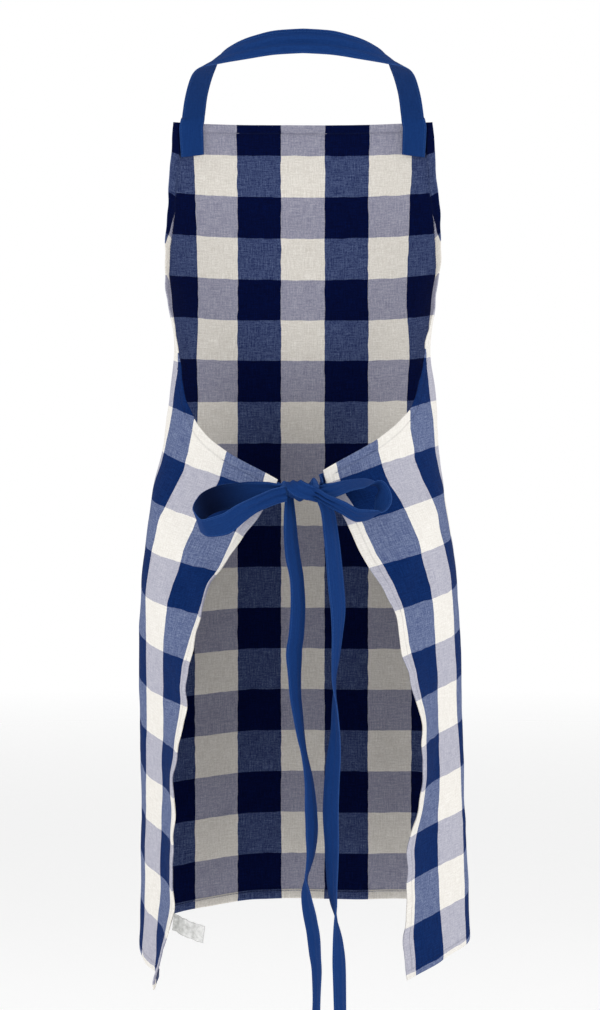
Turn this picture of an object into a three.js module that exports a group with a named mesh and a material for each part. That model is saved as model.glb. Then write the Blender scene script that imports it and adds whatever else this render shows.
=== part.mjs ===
// Cotton bib apron in a two-colour gingham check, in the form it has when worn, tied behind the waist.
// Millimetres, +Z up, the bib faces -Y, the wearer's left is +X.
// The origin is the inner face of the neck strap at the back of the neck.
import * as THREE from 'three';

// Driving sizes
const CLOTH_LENGTH = 813;
const CLOTH_WIDTH = 711;
const CLOTH_THICKNESS = 1.2;
const HEM_WIDTH = 9;
const HEM_EXTRA = 1.1;
const TAPE_WIDTH = 25;
const TAPE_THICKNESS = 1.5;
const TAIL_LENGTH = 503;
const PIECE_GAP = 0.35;
const BIB_TOP_DROP = 54;

// The check: counts of checks over the cloth, and the white sliver below the first row
const CHECKS_ACROSS = 15.6;
const ROWS_TALL = 18.86;
const CHECK_W = CLOTH_WIDTH / CHECKS_ACROSS;
const CHECK_H = CLOTH_LENGTH / ROWS_TALL;
const HEM_ROW = -0.116;
const TOP_ROW = HEM_ROW + ROWS_TALL;
const CORNER_ROW = 11.3;
const HALF_CHECKS = CHECKS_ACROSS / 2;

// Mesh fineness
const COLUMNS = 21;
const SKIRT_ROWS = 23;
const BIB_ROWS = 15;
const WALK_STEPS = 40;
const PROFILE_STEPS = 240;
const TAPE_CELLS = 2;

// Half width of the bib above the waist corner: row, half width in checks
const ARMHOLE = [
  [11.3, 7.8], [11.36, 7.5], [11.54, 6.5], [11.95, 5.5], [12.5, 4.95], [13.2, 4.5],
  [15, 3.75], [17, 3.2], [18.75, 2.95],
];

// Heading of each row of the cloth in plan, degrees from straight across,
// at these distances from the centre in checks
const STATIONS = [0, 1.5, 3, 4, 5, 6, 7.2];
// row, at 1.5, at 3, at 4, at 5, at 6, at 7.2
const HEADINGS_LEFT = [
  [0, 0, 26, 74, 98, 107, 92],
  [2, 0, 26, 74, 101, 114, 106],
  [4, 0, 26, 74, 100, 115, 108],
  [6, 2, 28, 74, 99, 116, 110],
  [8, 5, 34, 74, 98, 120, 124],
  [10, 9, 45, 84, 108, 135, 142],
  [11, 12, 52, 92, 118, 146, 158],
  [12, 14, 58, 97, 118, 148, 162],
  [13.2, 16, 62, 97, 118, 150, 165],
  [15, 15, 52, 85, 105, 120, 140],
  [18.8, 8, 24, 40, 50, 60, 70],
];
const HEADINGS_RIGHT = [
  [0, 0, 22, 75, 94, 125, 136],
  [2, 0, 24, 77, 96, 128, 124],
  [4, 0, 27, 80, 97, 124, 112],
  [6, 2, 31, 82, 98, 118, 114],
  [8, 5, 38, 83, 101, 118, 134],
  [10, 11, 51, 90, 109, 128, 172],
  [11, 14, 58, 95, 117, 140, 164],
  [12, 16, 61, 97, 119, 143, 164],
  [13.2, 17, 64, 98, 118, 150, 165],
  [15, 15, 52, 85, 105, 120, 140],
  [18.8, 8, 24, 40, 50, 60, 70],
];

// How far the cloth sinks below the front centre, in check heights,
// at these distances from the centre in checks
const DROP_STATIONS = [0, 1, 2.5, 4.5, 6, 7.8];
// row, at 2.5, at 4.5, at 6, at 7.8
const DROPS_LEFT = [
  [0, 0.23, 0.62, 0.98, 1.12],
  [2, 0.19, 0.54, 0.88, 1.06],
  [6, 0.12, 0.44, 0.8, 0.96],
  [8, 0.09, 0.36, 0.7, 0.96],
  [10, 0.07, 0.32, 0.67, 1.16],
  [11.3, 0.05, 0.28, 0.7, 1.23],
  [13.2, 0, 0.19, 0.46, 0.7],
  [18.8, 0, 0.05, 0.1, 0.14],
];
const DROPS_RIGHT = [
  [0, 0, 0.46, 0.7, 1.02],
  [2, 0, 0.4, 0.67, 0.93],
  [6, 0, 0.36, 0.6, 0.84],
  [8, 0, 0.3, 0.52, 0.84],
  [10, 0, 0.19, 0.44, 0.93],
  [11.3, 0, 0.14, 0.44, 1.02],
  [13.2, 0, 0.1, 0.37, 0.65],
  [18.8, 0, 0.05, 0.1, 0.14],
];

// Depth of the front centre line before the neck, in check widths: row, depth
const FRONT_DEPTH = [
  [0, 4.58], [4, 4.52], [8, 4.3], [11.3, 3.99], [13.2, 4.12], [15.2, 4.34], [17, 3.99], [18.8, 3.33],
];

// Soft folds of the worn cloth: checks across and row of the middle, lean in degrees from upright,
// half width in checks, half length in rows, height as a share of a check's height
const FOLDS = [
  [5.9, 9.6, 62, 0.32, 1.9, 0.07],
  [6.6, 8.7, 40, 0.28, 1.8, -0.06],
  [-5.8, 9.7, -62, 0.32, 1.9, 0.07],
  [-6.7, 8.6, -38, 0.28, 1.8, -0.06],
  [3.4, 3.2, 4, 0.6, 4.2, 0.1],
  [-3.3, 3.6, -4, 0.6, 4.4, 0.1],
  [1.6, 1.6, -3, 0.8, 3.4, -0.1],
  [-1.4, 2.0, 2, 0.8, 3.8, -0.09],
  [0.2, 4.4, 0, 0.9, 4.0, 0.06],
  [2.6, 13.0, 50, 0.45, 2.2, 0.08],
  [-2.7, 12.9, -50, 0.45, 2.2, 0.08],
  [1.2, 16.4, 24, 0.5, 2.2, 0.05],
  [-1.3, 16.2, -28, 0.5, 2.3, 0.05],
];

// Tape tables, lengths in tape widths; "across" is the direction from the lower to the upper edge

// Neck strap from the bib corner to the back of the neck, on the side of +X
// out, back, up, across x, across y, across z
const NECK_STRAP = [
  [4.46, -5.3, -2.0, -0.92, -0.4, 0.1],
  [4.3, -4.45, -1.3, -0.92, -0.38, 0.2],
  [3.95, -3.1, -0.6, -0.88, -0.3, 0.25],
  [3.6, -2.1, -0.36, -0.72, -0.3, 0.5],
  [2.95, -1.3, -0.24, -0.5, -0.3, 0.75],
  [2.0, -0.6, -0.12, -0.3, -0.2, 0.95],
  [1.0, -0.14, -0.03, -0.1, -0.12, 1],
  [0, 0, 0, 0, -0.1, 1],
];

// Bow, measured from the middle of the knot
// out, back, up, across x, across y, across z, share of the tape width
const LOOP_LEFT = [
  [0.83, 0.12, 0.02, 0, 0.1, 1, 0.5],
  [1.2, 0.1, 0.0, 0, 0.1, 1, 0.66],
  [2.1, 0.1, -0.14, -0.1, 0.15, 1, 0.95],
  [3.0, 0.26, -0.26, -0.1, 0.2, 1, 1],
  [3.6, 0.6, -0.58, 0.1, 0.3, 0.95, 1],
  [3.82, 1.1, -1.02, 0.25, 0.5, 0.85, 1],
  [3.5, 1.5, -1.38, 0.25, 0.72, 0.65, 1],
  [2.85, 1.62, -1.28, 0.2, 0.6, 0.8, 1],
  [2.2, 1.45, -0.86, 0.35, 0.5, 0.8, 0.85],
  [1.6, 1.12, -0.5, 0.3, 0.4, 0.85, 0.66],
  [0.88, 0.62, -0.2, 0.1, 0.1, 1, 0.6],
];
const LOOP_RIGHT = [
  [0.755, 0.13, -0.04, 0, -0.2, 1, 0.46],
  [1.15, 0.13, 0.0, 0, -0.75, 0.7, 0.8],
  [1.85, 0.1, 0.2, 0, -0.9, 0.45, 1],
  [2.45, 0.12, 0.28, -0.2, -0.95, 0.35, 1],
  [2.95, 0.3, 0.1, -0.5, -0.85, 0.2, 1],
  [3.1, 0.5, -0.4, -0.6, -0.78, 0, 1],
  [2.8, 0.66, -0.9, -0.4, -0.85, -0.3, 1],
  [2.2, 0.82, -0.96, -0.1, -0.85, -0.5, 1],
  [1.6, 0.84, -0.68, -0.1, -0.75, -0.65, 0.8],
  [0.98, 0.68, -0.34, 0, -0.4, -0.85, 0.4],
  [0.6, 0.52, -0.12, 0, -0.2, -0.95, 0.36],
];

// Hanging tails: share of the tail's length, sideways in tape widths from the knot, turn in degrees
const TAIL_LEFT = [
  [0, 0.44, 56], [0.03, 0.42, 52], [0.075, 0.38, 50], [0.115, 0.3, 47], [0.16, 0.14, 51], [0.205, 0.1, 48],
  [0.26, 0.16, 45], [0.295, 0.25, 43], [0.335, 0.23, 54], [0.37, 0.2, 59], [0.405, 0.11, 64], [0.445, 0, 71],
  [0.48, -0.13, 77], [0.535, -0.32, 67], [0.585, -0.39, 57], [0.62, -0.42, 56], [0.655, -0.4, 65],
  [0.685, -0.31, 76], [0.71, -0.18, 91], [0.74, -0.21, 118], [0.78, -0.35, 130], [0.815, -0.48, 129],
  [0.85, -0.54, 124], [0.885, -0.6, 117], [0.94, -0.59, 110], [1, -0.52, 110],
];
const TAIL_RIGHT = [
  [0, -0.44, 66], [0.02, -0.78, 52], [0.045, -1.03, 42], [0.085, -1.15, 44], [0.175, -1.33, 41],
  [0.225, -1.41, 48], [0.265, -1.38, 60], [0.31, -1.31, 70], [0.355, -1.24, 84], [0.405, -1.28, 105],
  [0.445, -1.3, 115], [0.495, -1.24, 131], [0.54, -1.17, 136], [0.595, -1.13, 138], [0.655, -1.17, 132],
  [0.72, -1.18, 120], [0.76, -1.23, 108], [0.785, -1.28, 90], [0.835, -1.4, 62], [0.88, -1.45, 53],
  [1, -1.5, 58],
];
// The tails hang creased lengthwise: width as a share of the flat tape, and height of the crease
const TAIL_SHARE = 0.8;
const TAIL_CUP = 0.08;
// How far each tail starts behind the middle of the knot in tape widths, and below it in piece gaps
const TAIL_LEFT_START = [0, -0.7];
const TAIL_RIGHT_START = [0.16, 2.2];
const TAIL_TOP_REACH = 0.22;

// Knot: share along its width, half depth, half height, rise, all in tape widths
const KNOT = [
  [-0.71, 0.24, 0.22, 0.06], [-0.66, 0.3, 0.32, 0.06], [-0.5, 0.36, 0.42, 0.06], [-0.3, 0.38, 0.36, 0],
  [-0.16, 0.46, 0.46, 0.02], [0.1, 0.5, 0.5, 0], [0.34, 0.46, 0.44, 0.02], [0.48, 0.38, 0.36, 0.02],
  [0.62, 0.34, 0.38, 0.04], [0.74, 0.3, 0.3, 0.02], [0.79, 0.24, 0.2, 0],
];
const KNOT_SIDES = 14;
const STRAP_STEPS = 22;
const LOOP_STEPS = 30;
const TAIL_STEPS = 44;
const KNOT_FORWARD = 0.55;
const KNOT_BELOW_CORNERS = 0.6;

// Care label, folded in two, set in the seam of the back edge
const LABEL_LENGTH = 32;
const LABEL_WIDTH = 16;
const LABEL_THICKNESS = 1;
const LABEL_ROW = 1.54;
const LABEL_GAPS = 3;
const LABEL_ALONG = [-0.92, 0.1, -0.37];
const LABEL_DOWN = [0.12, 0, -0.98];
const LABEL_CELLS_ALONG = 5;
const LABEL_CELLS_DOWN = 4;

const radians = (degrees) => (degrees * Math.PI) / 180;
const add = (a, b, share = 1) => [a[0] + b[0] * share, a[1] + b[1] * share, a[2] + b[2] * share];
const minus = (a, b) => [a[0] - b[0], a[1] - b[1], a[2] - b[2]];
const dot = (a, b) => a[0] * b[0] + a[1] * b[1] + a[2] * b[2];
const cross = (a, b) => [a[1] * b[2] - a[2] * b[1], a[2] * b[0] - a[0] * b[2], a[0] * b[1] - a[1] * b[0]];
const unit = (a) => {
  const size = Math.hypot(...a);
  return [a[0] / size, a[1] / size, a[2] / size];
};

// Smooth curve without overshoot through the points (places, values)
function curve(places, values, at) {
  const last = places.length - 1;
  const x = Math.min(Math.max(at, places[0]), places[last]);
  let i = 0;
  while (i < last - 1 && x >= places[i + 1]) i += 1;
  const slope = (n) => (values[n + 1] - values[n]) / (places[n + 1] - places[n]);
  const tangent = (n) => {
    if (n === 0) return slope(0);
    if (n === last) return slope(last - 1);
    const before = slope(n - 1);
    const after = slope(n);
    if (before * after <= 0) return 0;
    const wide = places[n + 1] - places[n];
    const narrow = places[n] - places[n - 1];
    const first = 2 * wide + narrow;
    const second = wide + 2 * narrow;
    return (first + second) / (first / before + second / after);
  };
  const step = places[i + 1] - places[i];
  const t = (x - places[i]) / step;
  const rest = 1 - t;
  return (1 + 2 * t) * rest * rest * values[i] + t * rest * rest * step * tangent(i)
    + t * t * (3 - 2 * t) * values[i + 1] - t * t * rest * step * tangent(i + 1);
}

// One column of a table, read at a place on its first column
const column = (table, index, at) => curve(table.map((row) => row[0]), table.map((row) => row[index]), at);

// Heights of the front centre line, walked down from the top of the bib so that its length is kept
const frontHeights = [];
{
  const stepRows = ROWS_TALL / PROFILE_STEPS;
  let height = -BIB_TOP_DROP;
  let depth = column(FRONT_DEPTH, 1, TOP_ROW) * CHECK_W;
  frontHeights.push(height);
  for (let i = 1; i <= PROFILE_STEPS; i += 1) {
    const row = TOP_ROW - i * stepRows;
    const next = column(FRONT_DEPTH, 1, row) * CHECK_W;
    height -= Math.sqrt((stepRows * CHECK_H) ** 2 - (next - depth) ** 2);
    depth = next;
    frontHeights.push(height);
  }
  frontHeights.reverse();
}
function frontHeight(row) {
  const place = ((row - HEM_ROW) / ROWS_TALL) * PROFILE_STEPS;
  const i = Math.min(Math.max(Math.floor(place), 0), PROFILE_STEPS - 1);
  return frontHeights[i] + (frontHeights[i + 1] - frontHeights[i]) * (place - i);
}

// Point of the smooth hang, given in checks across from the centre (+ is the +X side) and rows up
function hangPoint(checks, row) {
  const side = checks < 0 ? -1 : 1;
  const headings = side < 0 ? HEADINGS_RIGHT : HEADINGS_LEFT;
  const drops = side < 0 ? DROPS_RIGHT : DROPS_LEFT;
  const heading = [0, ...STATIONS.slice(1).map((_, i) => column(headings, i + 1, row))];
  const drop = [0, 0, ...DROP_STATIONS.slice(2).map((_, i) => column(drops, i + 1, row))];
  const step = Math.abs(checks) / WALK_STEPS;
  let x = 0;
  let y = 0;
  let sunk = 0;
  for (let i = 0; i < WALK_STEPS; i += 1) {
    const angle = radians(curve(STATIONS, heading, (i + 0.5) * step));
    const next = curve(DROP_STATIONS, drop, (i + 1) * step) * CHECK_H;
    const level = Math.sqrt((step * CHECK_W) ** 2 - (next - sunk) ** 2);
    x += level * Math.cos(angle);
    y += level * Math.sin(angle);
    sunk = next;
  }
  return [side * x, y - column(FRONT_DEPTH, 1, row) * CHECK_W, frontHeight(row) - sunk];
}

// Outward direction of the cloth, away from the wearer
const NORMAL_REACH = 0.05;
function clothNormal(checks, row) {
  const reach = NORMAL_REACH;
  const across = minus(hangPoint(checks + reach, row), hangPoint(checks - reach, row));
  const up = minus(hangPoint(checks, row + reach), hangPoint(checks, row - reach));
  return unit(cross(across, up));
}

// How far the folds lift the cloth outward
function foldLift(checks, row) {
  return FOLDS.reduce((sum, [middle, level, lean, wide, long, height]) => {
    const dx = (checks - middle) * CHECK_W;
    const dz = (row - level) * CHECK_H;
    const off = (dx * Math.cos(radians(lean)) + dz * Math.sin(radians(lean))) / (wide * CHECK_W);
    const along = (dz * Math.cos(radians(lean)) - dx * Math.sin(radians(lean))) / (long * CHECK_H);
    return sum + height * CHECK_H * Math.exp(-off * off - along * along);
  }, 0);
}
const clothPoint = (checks, row) =>
  add(hangPoint(checks, row), clothNormal(checks, row), foldLift(checks, row));

// Closed shell on a grid of points; near and far are the offsets of its two faces along the normal
function shell(points, near, far) {
  const rows = points.length;
  const cols = points[0].length;
  const normal = (j, i) => {
    const across = minus(points[j][Math.min(i + 1, cols - 1)], points[j][Math.max(i - 1, 0)]);
    const up = minus(points[Math.min(j + 1, rows - 1)][i], points[Math.max(j - 1, 0)][i]);
    return unit(cross(across, up));
  };
  const positions = [];
  for (const offset of [near, far]) {
    for (let j = 0; j < rows; j += 1) {
      for (let i = 0; i < cols; i += 1) positions.push(...add(points[j][i], normal(j, i), offset(j, i)));
    }
  }
  const at = (j, i, face) => face * rows * cols + j * cols + i;
  const faces = [];
  const quad = (a, b, c, d) => faces.push(a, b, c, a, c, d);
  for (let j = 0; j < rows - 1; j += 1) {
    for (let i = 0; i < cols - 1; i += 1) {
      quad(at(j, i, 1), at(j, i + 1, 1), at(j + 1, i + 1, 1), at(j + 1, i, 1));
      quad(at(j, i, 0), at(j + 1, i, 0), at(j + 1, i + 1, 0), at(j, i + 1, 0));
    }
  }
  for (let j = 0; j < rows - 1; j += 1) {
    quad(at(j, 0, 0), at(j, 0, 1), at(j + 1, 0, 1), at(j + 1, 0, 0));
    quad(at(j, cols - 1, 1), at(j, cols - 1, 0), at(j + 1, cols - 1, 0), at(j + 1, cols - 1, 1));
  }
  for (let i = 0; i < cols - 1; i += 1) {
    quad(at(0, i, 0), at(0, i + 1, 0), at(0, i + 1, 1), at(0, i, 1));
    quad(at(rows - 1, i, 1), at(rows - 1, i + 1, 1), at(rows - 1, i + 1, 0), at(rows - 1, i, 0));
  }
  return geometryOf(positions, faces);
}

function geometryOf(positions, faces) {
  const geometry = new THREE.BufferGeometry();
  geometry.setAttribute('position', new THREE.Float32BufferAttribute(positions, 3));
  geometry.setIndex(faces);
  geometry.computeVertexNormals();
  return geometry;
}

// Strip of tape along stations of centre, across direction and width
function tape(stations, cup = 0) {
  const points = stations.map((station, j) => {
    const before = stations[Math.max(j - 1, 0)].centre;
    const after = stations[Math.min(j + 1, stations.length - 1)].centre;
    const along = unit(minus(after, before));
    const across = unit(add(station.across, along, -dot(station.across, along)));
    const out = cross(across, along);
    const row = [];
    for (let i = 0; i <= TAPE_CELLS; i += 1) {
      const share = i / TAPE_CELLS - 0.5;
      const edge = add(station.centre, across, share * station.width);
      row.push(add(edge, out, (0.25 - share * share) * 4 * cup * station.width));
    }
    return row;
  });
  const half = () => TAPE_THICKNESS / 2;
  return shell(points, () => -half(), half);
}

// Stations of a tape read from a table of rows, count steps between the first row and the last
function stationsOf(table, count, read) {
  const places = table.map((_, i) => i);
  const list = [];
  for (let n = 0; n <= count; n += 1) {
    const at = (n / count) * (table.length - 1);
    const values = table[0].map((_, index) => curve(places, table.map((row) => row[index]), at));
    list.push(read(values));
  }
  return list;
}

// The cloth's own grid: columns keep the hems as narrow bands, rows follow the armholes above the corners
const HEM_STEP = 0.12;
const hemChecks = HEM_WIDTH / CHECK_W;
const hemRows = HEM_WIDTH / CHECK_H;
function bands(count, hem) {
  const list = [0, hem * (1 - HEM_STEP), hem];
  for (let i = 1; i < count; i += 1) list.push(hem + ((1 - hem) * i) / count);
  return list;
}
const sideShares = bands(COLUMNS, hemChecks / HALF_CHECKS).map((share) => 1 - share);
const columnShares = [...sideShares.map((share) => -share), 0, ...sideShares.slice().reverse()];
const skirtShares = [...bands(SKIRT_ROWS, hemRows / (CORNER_ROW - HEM_ROW)), 1];
const armholeLengths = [0];
ARMHOLE.slice(1).forEach((point, i) => {
  const before = ARMHOLE[i];
  const rise = (point[0] - before[0]) * CHECK_H;
  const run = (point[1] - before[1]) * CHECK_W;
  armholeLengths.push(armholeLengths[i] + Math.hypot(rise, run));
});
const armholeLength = armholeLengths[armholeLengths.length - 1];
const bibShares = bands(BIB_ROWS, HEM_WIDTH / armholeLength).map((share) => 1 - share).reverse();
const gridRows = [];
skirtShares.forEach((share) => {
  const row = HEM_ROW + share * (CORNER_ROW - HEM_ROW);
  gridRows.push({ centre: row, edge: row, half: HALF_CHECKS });
});
bibShares.forEach((share) => {
  const along = share * armholeLength;
  gridRows.push({
    centre: CORNER_ROW + share * (TOP_ROW - CORNER_ROW),
    edge: curve(armholeLengths, ARMHOLE.map((point) => point[0]), along),
    half: curve(armholeLengths, ARMHOLE.map((point) => point[1]), along),
  });
});
const clothGrid = gridRows.map((line) => columnShares.map((share) => {
  const row = line.centre + (line.edge - line.centre) * share * share;
  return clothPoint(share * line.half, row);
}));
const lastColumn = columnShares.length - 1;
const lastRow = clothGrid.length - 1;
const inHem = (j, i) => j < 2 || i < 2 || j > lastRow - 2 || i > lastColumn - 2;
const panelGeometry = shell(
  clothGrid,
  (j, i) => -CLOTH_THICKNESS / 2 - (inHem(j, i) ? HEM_EXTRA : 0),
  () => CLOTH_THICKNESS / 2,
);

// Neck strap: mirrored halves joined at the back of the neck, its ends lie inside the bib corners
const BIB_CORNER = 2.55;
const SEWN_ROWS = [17.95, 18.35, 18.68];
const SEWN_TURN = 0.25;
const STRAP_GAPS = 0.6;
function sewnStation(checks, row, turnChecks, turnRows, width, gaps) {
  const ahead = clothPoint(checks + turnChecks, row + turnRows);
  const across = minus(ahead, clothPoint(checks - turnChecks, row - turnRows));
  const inside = -(CLOTH_THICKNESS / 2 + HEM_EXTRA + gaps * PIECE_GAP + TAPE_THICKNESS / 2);
  return { centre: add(clothPoint(checks, row), clothNormal(checks, row), inside), across, width };
}
const strapHalf = stationsOf(NECK_STRAP, STRAP_STEPS, (v) => ({
  centre: [v[0] * TAPE_WIDTH, v[1] * TAPE_WIDTH, v[2] * TAPE_WIDTH],
  across: [v[3], v[4], v[5]],
  width: TAPE_WIDTH,
}));
const strapEnds = SEWN_ROWS.map((row) => sewnStation(BIB_CORNER, row, -SEWN_TURN, 0, TAPE_WIDTH, STRAP_GAPS));
const oneSide = [...strapEnds, ...strapHalf];
const mirror = (station) => ({
  centre: [-station.centre[0], station.centre[1], station.centre[2]],
  across: [-station.across[0], station.across[1], station.across[2]],
  width: station.width,
});
const strapStations = [...oneSide, ...oneSide.slice(0, -1).reverse().map(mirror)];
const halfTape = TAPE_THICKNESS / 2;
const strapGeometry = tape(strapStations.map((station) => ({
  ...station,
  centre: add(station.centre, [0, halfTape, 0]),
})));

// Knot between the two waist corners
const cornerLeft = clothPoint(HALF_CHECKS, CORNER_ROW);
const cornerRight = clothPoint(-HALF_CHECKS, CORNER_ROW);
const knotCentre = add(
  add(cornerLeft, minus(cornerRight, cornerLeft), 0.5),
  [0, KNOT_FORWARD, -KNOT_BELOW_CORNERS],
  TAPE_WIDTH,
);
function knotGeometry() {
  const positions = [];
  const faces = [];
  KNOT.forEach(([along, deep, tall, rise]) => {
    for (let n = 0; n < KNOT_SIDES; n += 1) {
      const angle = (2 * Math.PI * n) / KNOT_SIDES;
      const fromCentre = [along, deep * Math.cos(angle), rise + tall * Math.sin(angle)];
      positions.push(...add(knotCentre, fromCentre, TAPE_WIDTH));
    }
  });
  for (let j = 0; j < KNOT.length - 1; j += 1) {
    for (let n = 0; n < KNOT_SIDES; n += 1) {
      const next = (n + 1) % KNOT_SIDES;
      const a = j * KNOT_SIDES + n;
      const b = j * KNOT_SIDES + next;
      faces.push(a, b, b + KNOT_SIDES, a, b + KNOT_SIDES, a + KNOT_SIDES);
    }
  }
  const first = positions.length / 3;
  positions.push(...add(knotCentre, [KNOT[0][0], 0, KNOT[0][3]], TAPE_WIDTH));
  const end = KNOT[KNOT.length - 1];
  positions.push(...add(knotCentre, [end[0], 0, end[3]], TAPE_WIDTH));
  const lastRing = (KNOT.length - 1) * KNOT_SIDES;
  for (let n = 0; n < KNOT_SIDES; n += 1) {
    const next = (n + 1) % KNOT_SIDES;
    faces.push(first, next, n);
    faces.push(first + 1, lastRing + n, lastRing + next);
  }
  return geometryOf(positions, faces);
}

// Waist ties: from inside the corner of the cloth to the side of the knot
const TIE_ROW = CORNER_ROW - 0.34;
const TIE_CHECKS_IN = [0.62, 0.3, -0.05];
const TIE_SEWN_SHARE = 0.9;
const TIE_HALFWAY_SHARE = 0.76;
const TIE_KNOT_SHARE = 0.5;
const TIE_GAPS_LEFT = 0.8;
const TIE_GAPS_RIGHT = 2;
const TIE_KNOT_GAPS = 2.3;
const TIE_BEHIND_KNOT = 0.14;
const TIE_RISE = 0.06;
const TIE_STRAIGHT_END = 0.12;
function waistTie(side) {
  const gaps = side < 0 ? TIE_GAPS_RIGHT : TIE_GAPS_LEFT;
  const sewn = TIE_CHECKS_IN.map((checks) => sewnStation(
    side * (HALF_CHECKS - checks), TIE_ROW, 0, SEWN_TURN, TAPE_WIDTH * TIE_SEWN_SHARE, gaps,
  ));
  const leaving = sewn[sewn.length - 1];
  const upright = [0, 0, 1];
  const knotEnd = side > 0 ? KNOT[KNOT.length - 1][0] : KNOT[0][0];
  const beside = add(knotCentre, [knotEnd, -TIE_BEHIND_KNOT, TIE_RISE], TAPE_WIDTH);
  const target = add(beside, [side, 0, 0], TIE_KNOT_GAPS * PIECE_GAP);
  const halfway = add(leaving.centre, minus(target, leaving.centre), 0.5);
  const nearKnot = add(target, [side, 0, 0], TIE_STRAIGHT_END * TAPE_WIDTH);
  return tape([
    ...sewn,
    { centre: halfway, across: upright, width: TAPE_WIDTH * TIE_HALFWAY_SHARE },
    { centre: nearKnot, across: upright, width: TAPE_WIDTH * TIE_KNOT_SHARE },
    { centre: target, across: upright, width: TAPE_WIDTH * TIE_KNOT_SHARE },
  ]);
}

// Bow loops and tails, placed from the knot
function bowLoop(table, side) {
  return tape(stationsOf(table, LOOP_STEPS, (v) => ({
    centre: add(knotCentre, [side * v[0], v[1], v[2]], TAPE_WIDTH),
    across: [side * v[3], v[4], v[5]],
    width: TAPE_WIDTH * v[6],
  })));
}
function tail(table, [forward, below]) {
  const reach = [-TAIL_TOP_REACH, 0, TAIL_TOP_REACH].map((side) => table[0][1] + side);
  const under = Math.min(...reach.map((side) => column(KNOT, 3, side) - column(KNOT, 2, side)));
  const top = add(knotCentre, [0, forward, under], TAPE_WIDTH);
  return tape(stationsOf(table, TAIL_STEPS, (v) => ({
    centre: add(top, [v[1] * TAPE_WIDTH, 0, -below * PIECE_GAP - v[0] * TAIL_LENGTH]),
    across: [Math.cos(radians(v[2])), Math.sin(radians(v[2])), 0],
    width: TAPE_WIDTH * TAIL_SHARE,
  })), TAIL_CUP);
}

// Care label: two layers of satin pressed together, hanging out of the back edge
function labelGeometry() {
  const edge = clothPoint(HALF_CHECKS, LABEL_ROW);
  const start = add(edge, [-LABEL_GAPS * PIECE_GAP, LABEL_THICKNESS, 0]);
  const along = unit(LABEL_ALONG);
  const down = unit(LABEL_DOWN);
  const points = [];
  for (let j = 0; j <= LABEL_CELLS_DOWN; j += 1) {
    const row = [];
    const level = add(start, down, (j / LABEL_CELLS_DOWN) * LABEL_WIDTH);
    for (let i = 0; i <= LABEL_CELLS_ALONG; i += 1) {
      const share = i / LABEL_CELLS_ALONG;
      const bulge = Math.sin(share * Math.PI) * LABEL_THICKNESS;
      row.push(add(add(level, along, share * LABEL_LENGTH), [0, bulge, 0]));
    }
    points.push(row);
  }
  return shell(points, () => -LABEL_THICKNESS / 2, () => LABEL_THICKNESS / 2);
}

const fabric = (name, color, roughness) =>
  new THREE.MeshStandardMaterial({ name, color, roughness, metalness: 0 });
const checkCotton = fabric('check_cotton', 0xb9bccd, 0.9);
const navyTape = fabric('navy_tape', 0x193c7d, 0.85);
const labelWhite = fabric('label_white', 0xf1efeb, 0.6);

const apron = new THREE.Group();
apron.name = 'cotton_apron';
function piece(name, geometry, material) {
  const mesh = new THREE.Mesh(geometry, material);
  mesh.name = name;
  apron.add(mesh);
}
piece('apron_panel', panelGeometry, checkCotton);
piece('neck_strap', strapGeometry, navyTape);
piece('waist_tie_left', waistTie(1), navyTape);
piece('waist_tie_right', waistTie(-1), navyTape);
piece('bow_knot', knotGeometry(), navyTape);
piece('bow_loop_left', bowLoop(LOOP_LEFT, 1), navyTape);
piece('bow_loop_right', bowLoop(LOOP_RIGHT, -1), navyTape);
piece('tie_tail_left', tail(TAIL_LEFT, TAIL_LEFT_START), navyTape);
piece('tie_tail_right', tail(TAIL_RIGHT, TAIL_RIGHT_START), navyTape);
piece('care_label', labelGeometry(), labelWhite);

export default apron;
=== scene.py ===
"""Cotton bib apron in its worn form: dressed pieces, materials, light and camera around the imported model."""
import math

import bpy
import numpy as np
from mathutils.geometry import delaunay_2d_cdt
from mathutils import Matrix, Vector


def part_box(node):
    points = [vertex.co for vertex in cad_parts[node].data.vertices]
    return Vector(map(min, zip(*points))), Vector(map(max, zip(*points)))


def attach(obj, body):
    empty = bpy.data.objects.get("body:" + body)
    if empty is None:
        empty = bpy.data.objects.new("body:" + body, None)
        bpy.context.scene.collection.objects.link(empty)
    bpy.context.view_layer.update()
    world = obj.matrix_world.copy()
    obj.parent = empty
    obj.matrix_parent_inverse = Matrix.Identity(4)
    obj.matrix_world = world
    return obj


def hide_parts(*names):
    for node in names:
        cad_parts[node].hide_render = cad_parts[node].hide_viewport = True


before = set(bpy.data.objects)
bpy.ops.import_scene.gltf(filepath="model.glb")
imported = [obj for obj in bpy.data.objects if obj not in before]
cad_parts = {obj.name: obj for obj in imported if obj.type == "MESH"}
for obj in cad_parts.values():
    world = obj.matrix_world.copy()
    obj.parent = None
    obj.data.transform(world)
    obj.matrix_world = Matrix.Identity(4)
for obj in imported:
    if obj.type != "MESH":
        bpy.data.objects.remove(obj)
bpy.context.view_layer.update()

# Driving sizes in millimetres, the same as the solids'
CLOTH_LENGTH = 813.0
CLOTH_WIDTH = 711.0
TAPE_WIDTH = 25.0
TAIL_LENGTH = 503.0
BIB_TOP_DROP = 54.0
MM = 0.001

# The check: counts over the cloth
CHECKS_ACROSS = 15.6
ROWS_TALL = 18.86
CHECK_W = CLOTH_WIDTH / CHECKS_ACROSS
CHECK_H = CLOTH_LENGTH / ROWS_TALL
HEM_ROW = -0.116
TOP_ROW = HEM_ROW + ROWS_TALL
CORNER_ROW = 11.3
HALF_CHECKS = CHECKS_ACROSS / 2
CHECK_SIZE = np.array([CHECK_W, CHECK_H])
WALK_STEPS = 40
PROFILE_STEPS = 240

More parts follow.
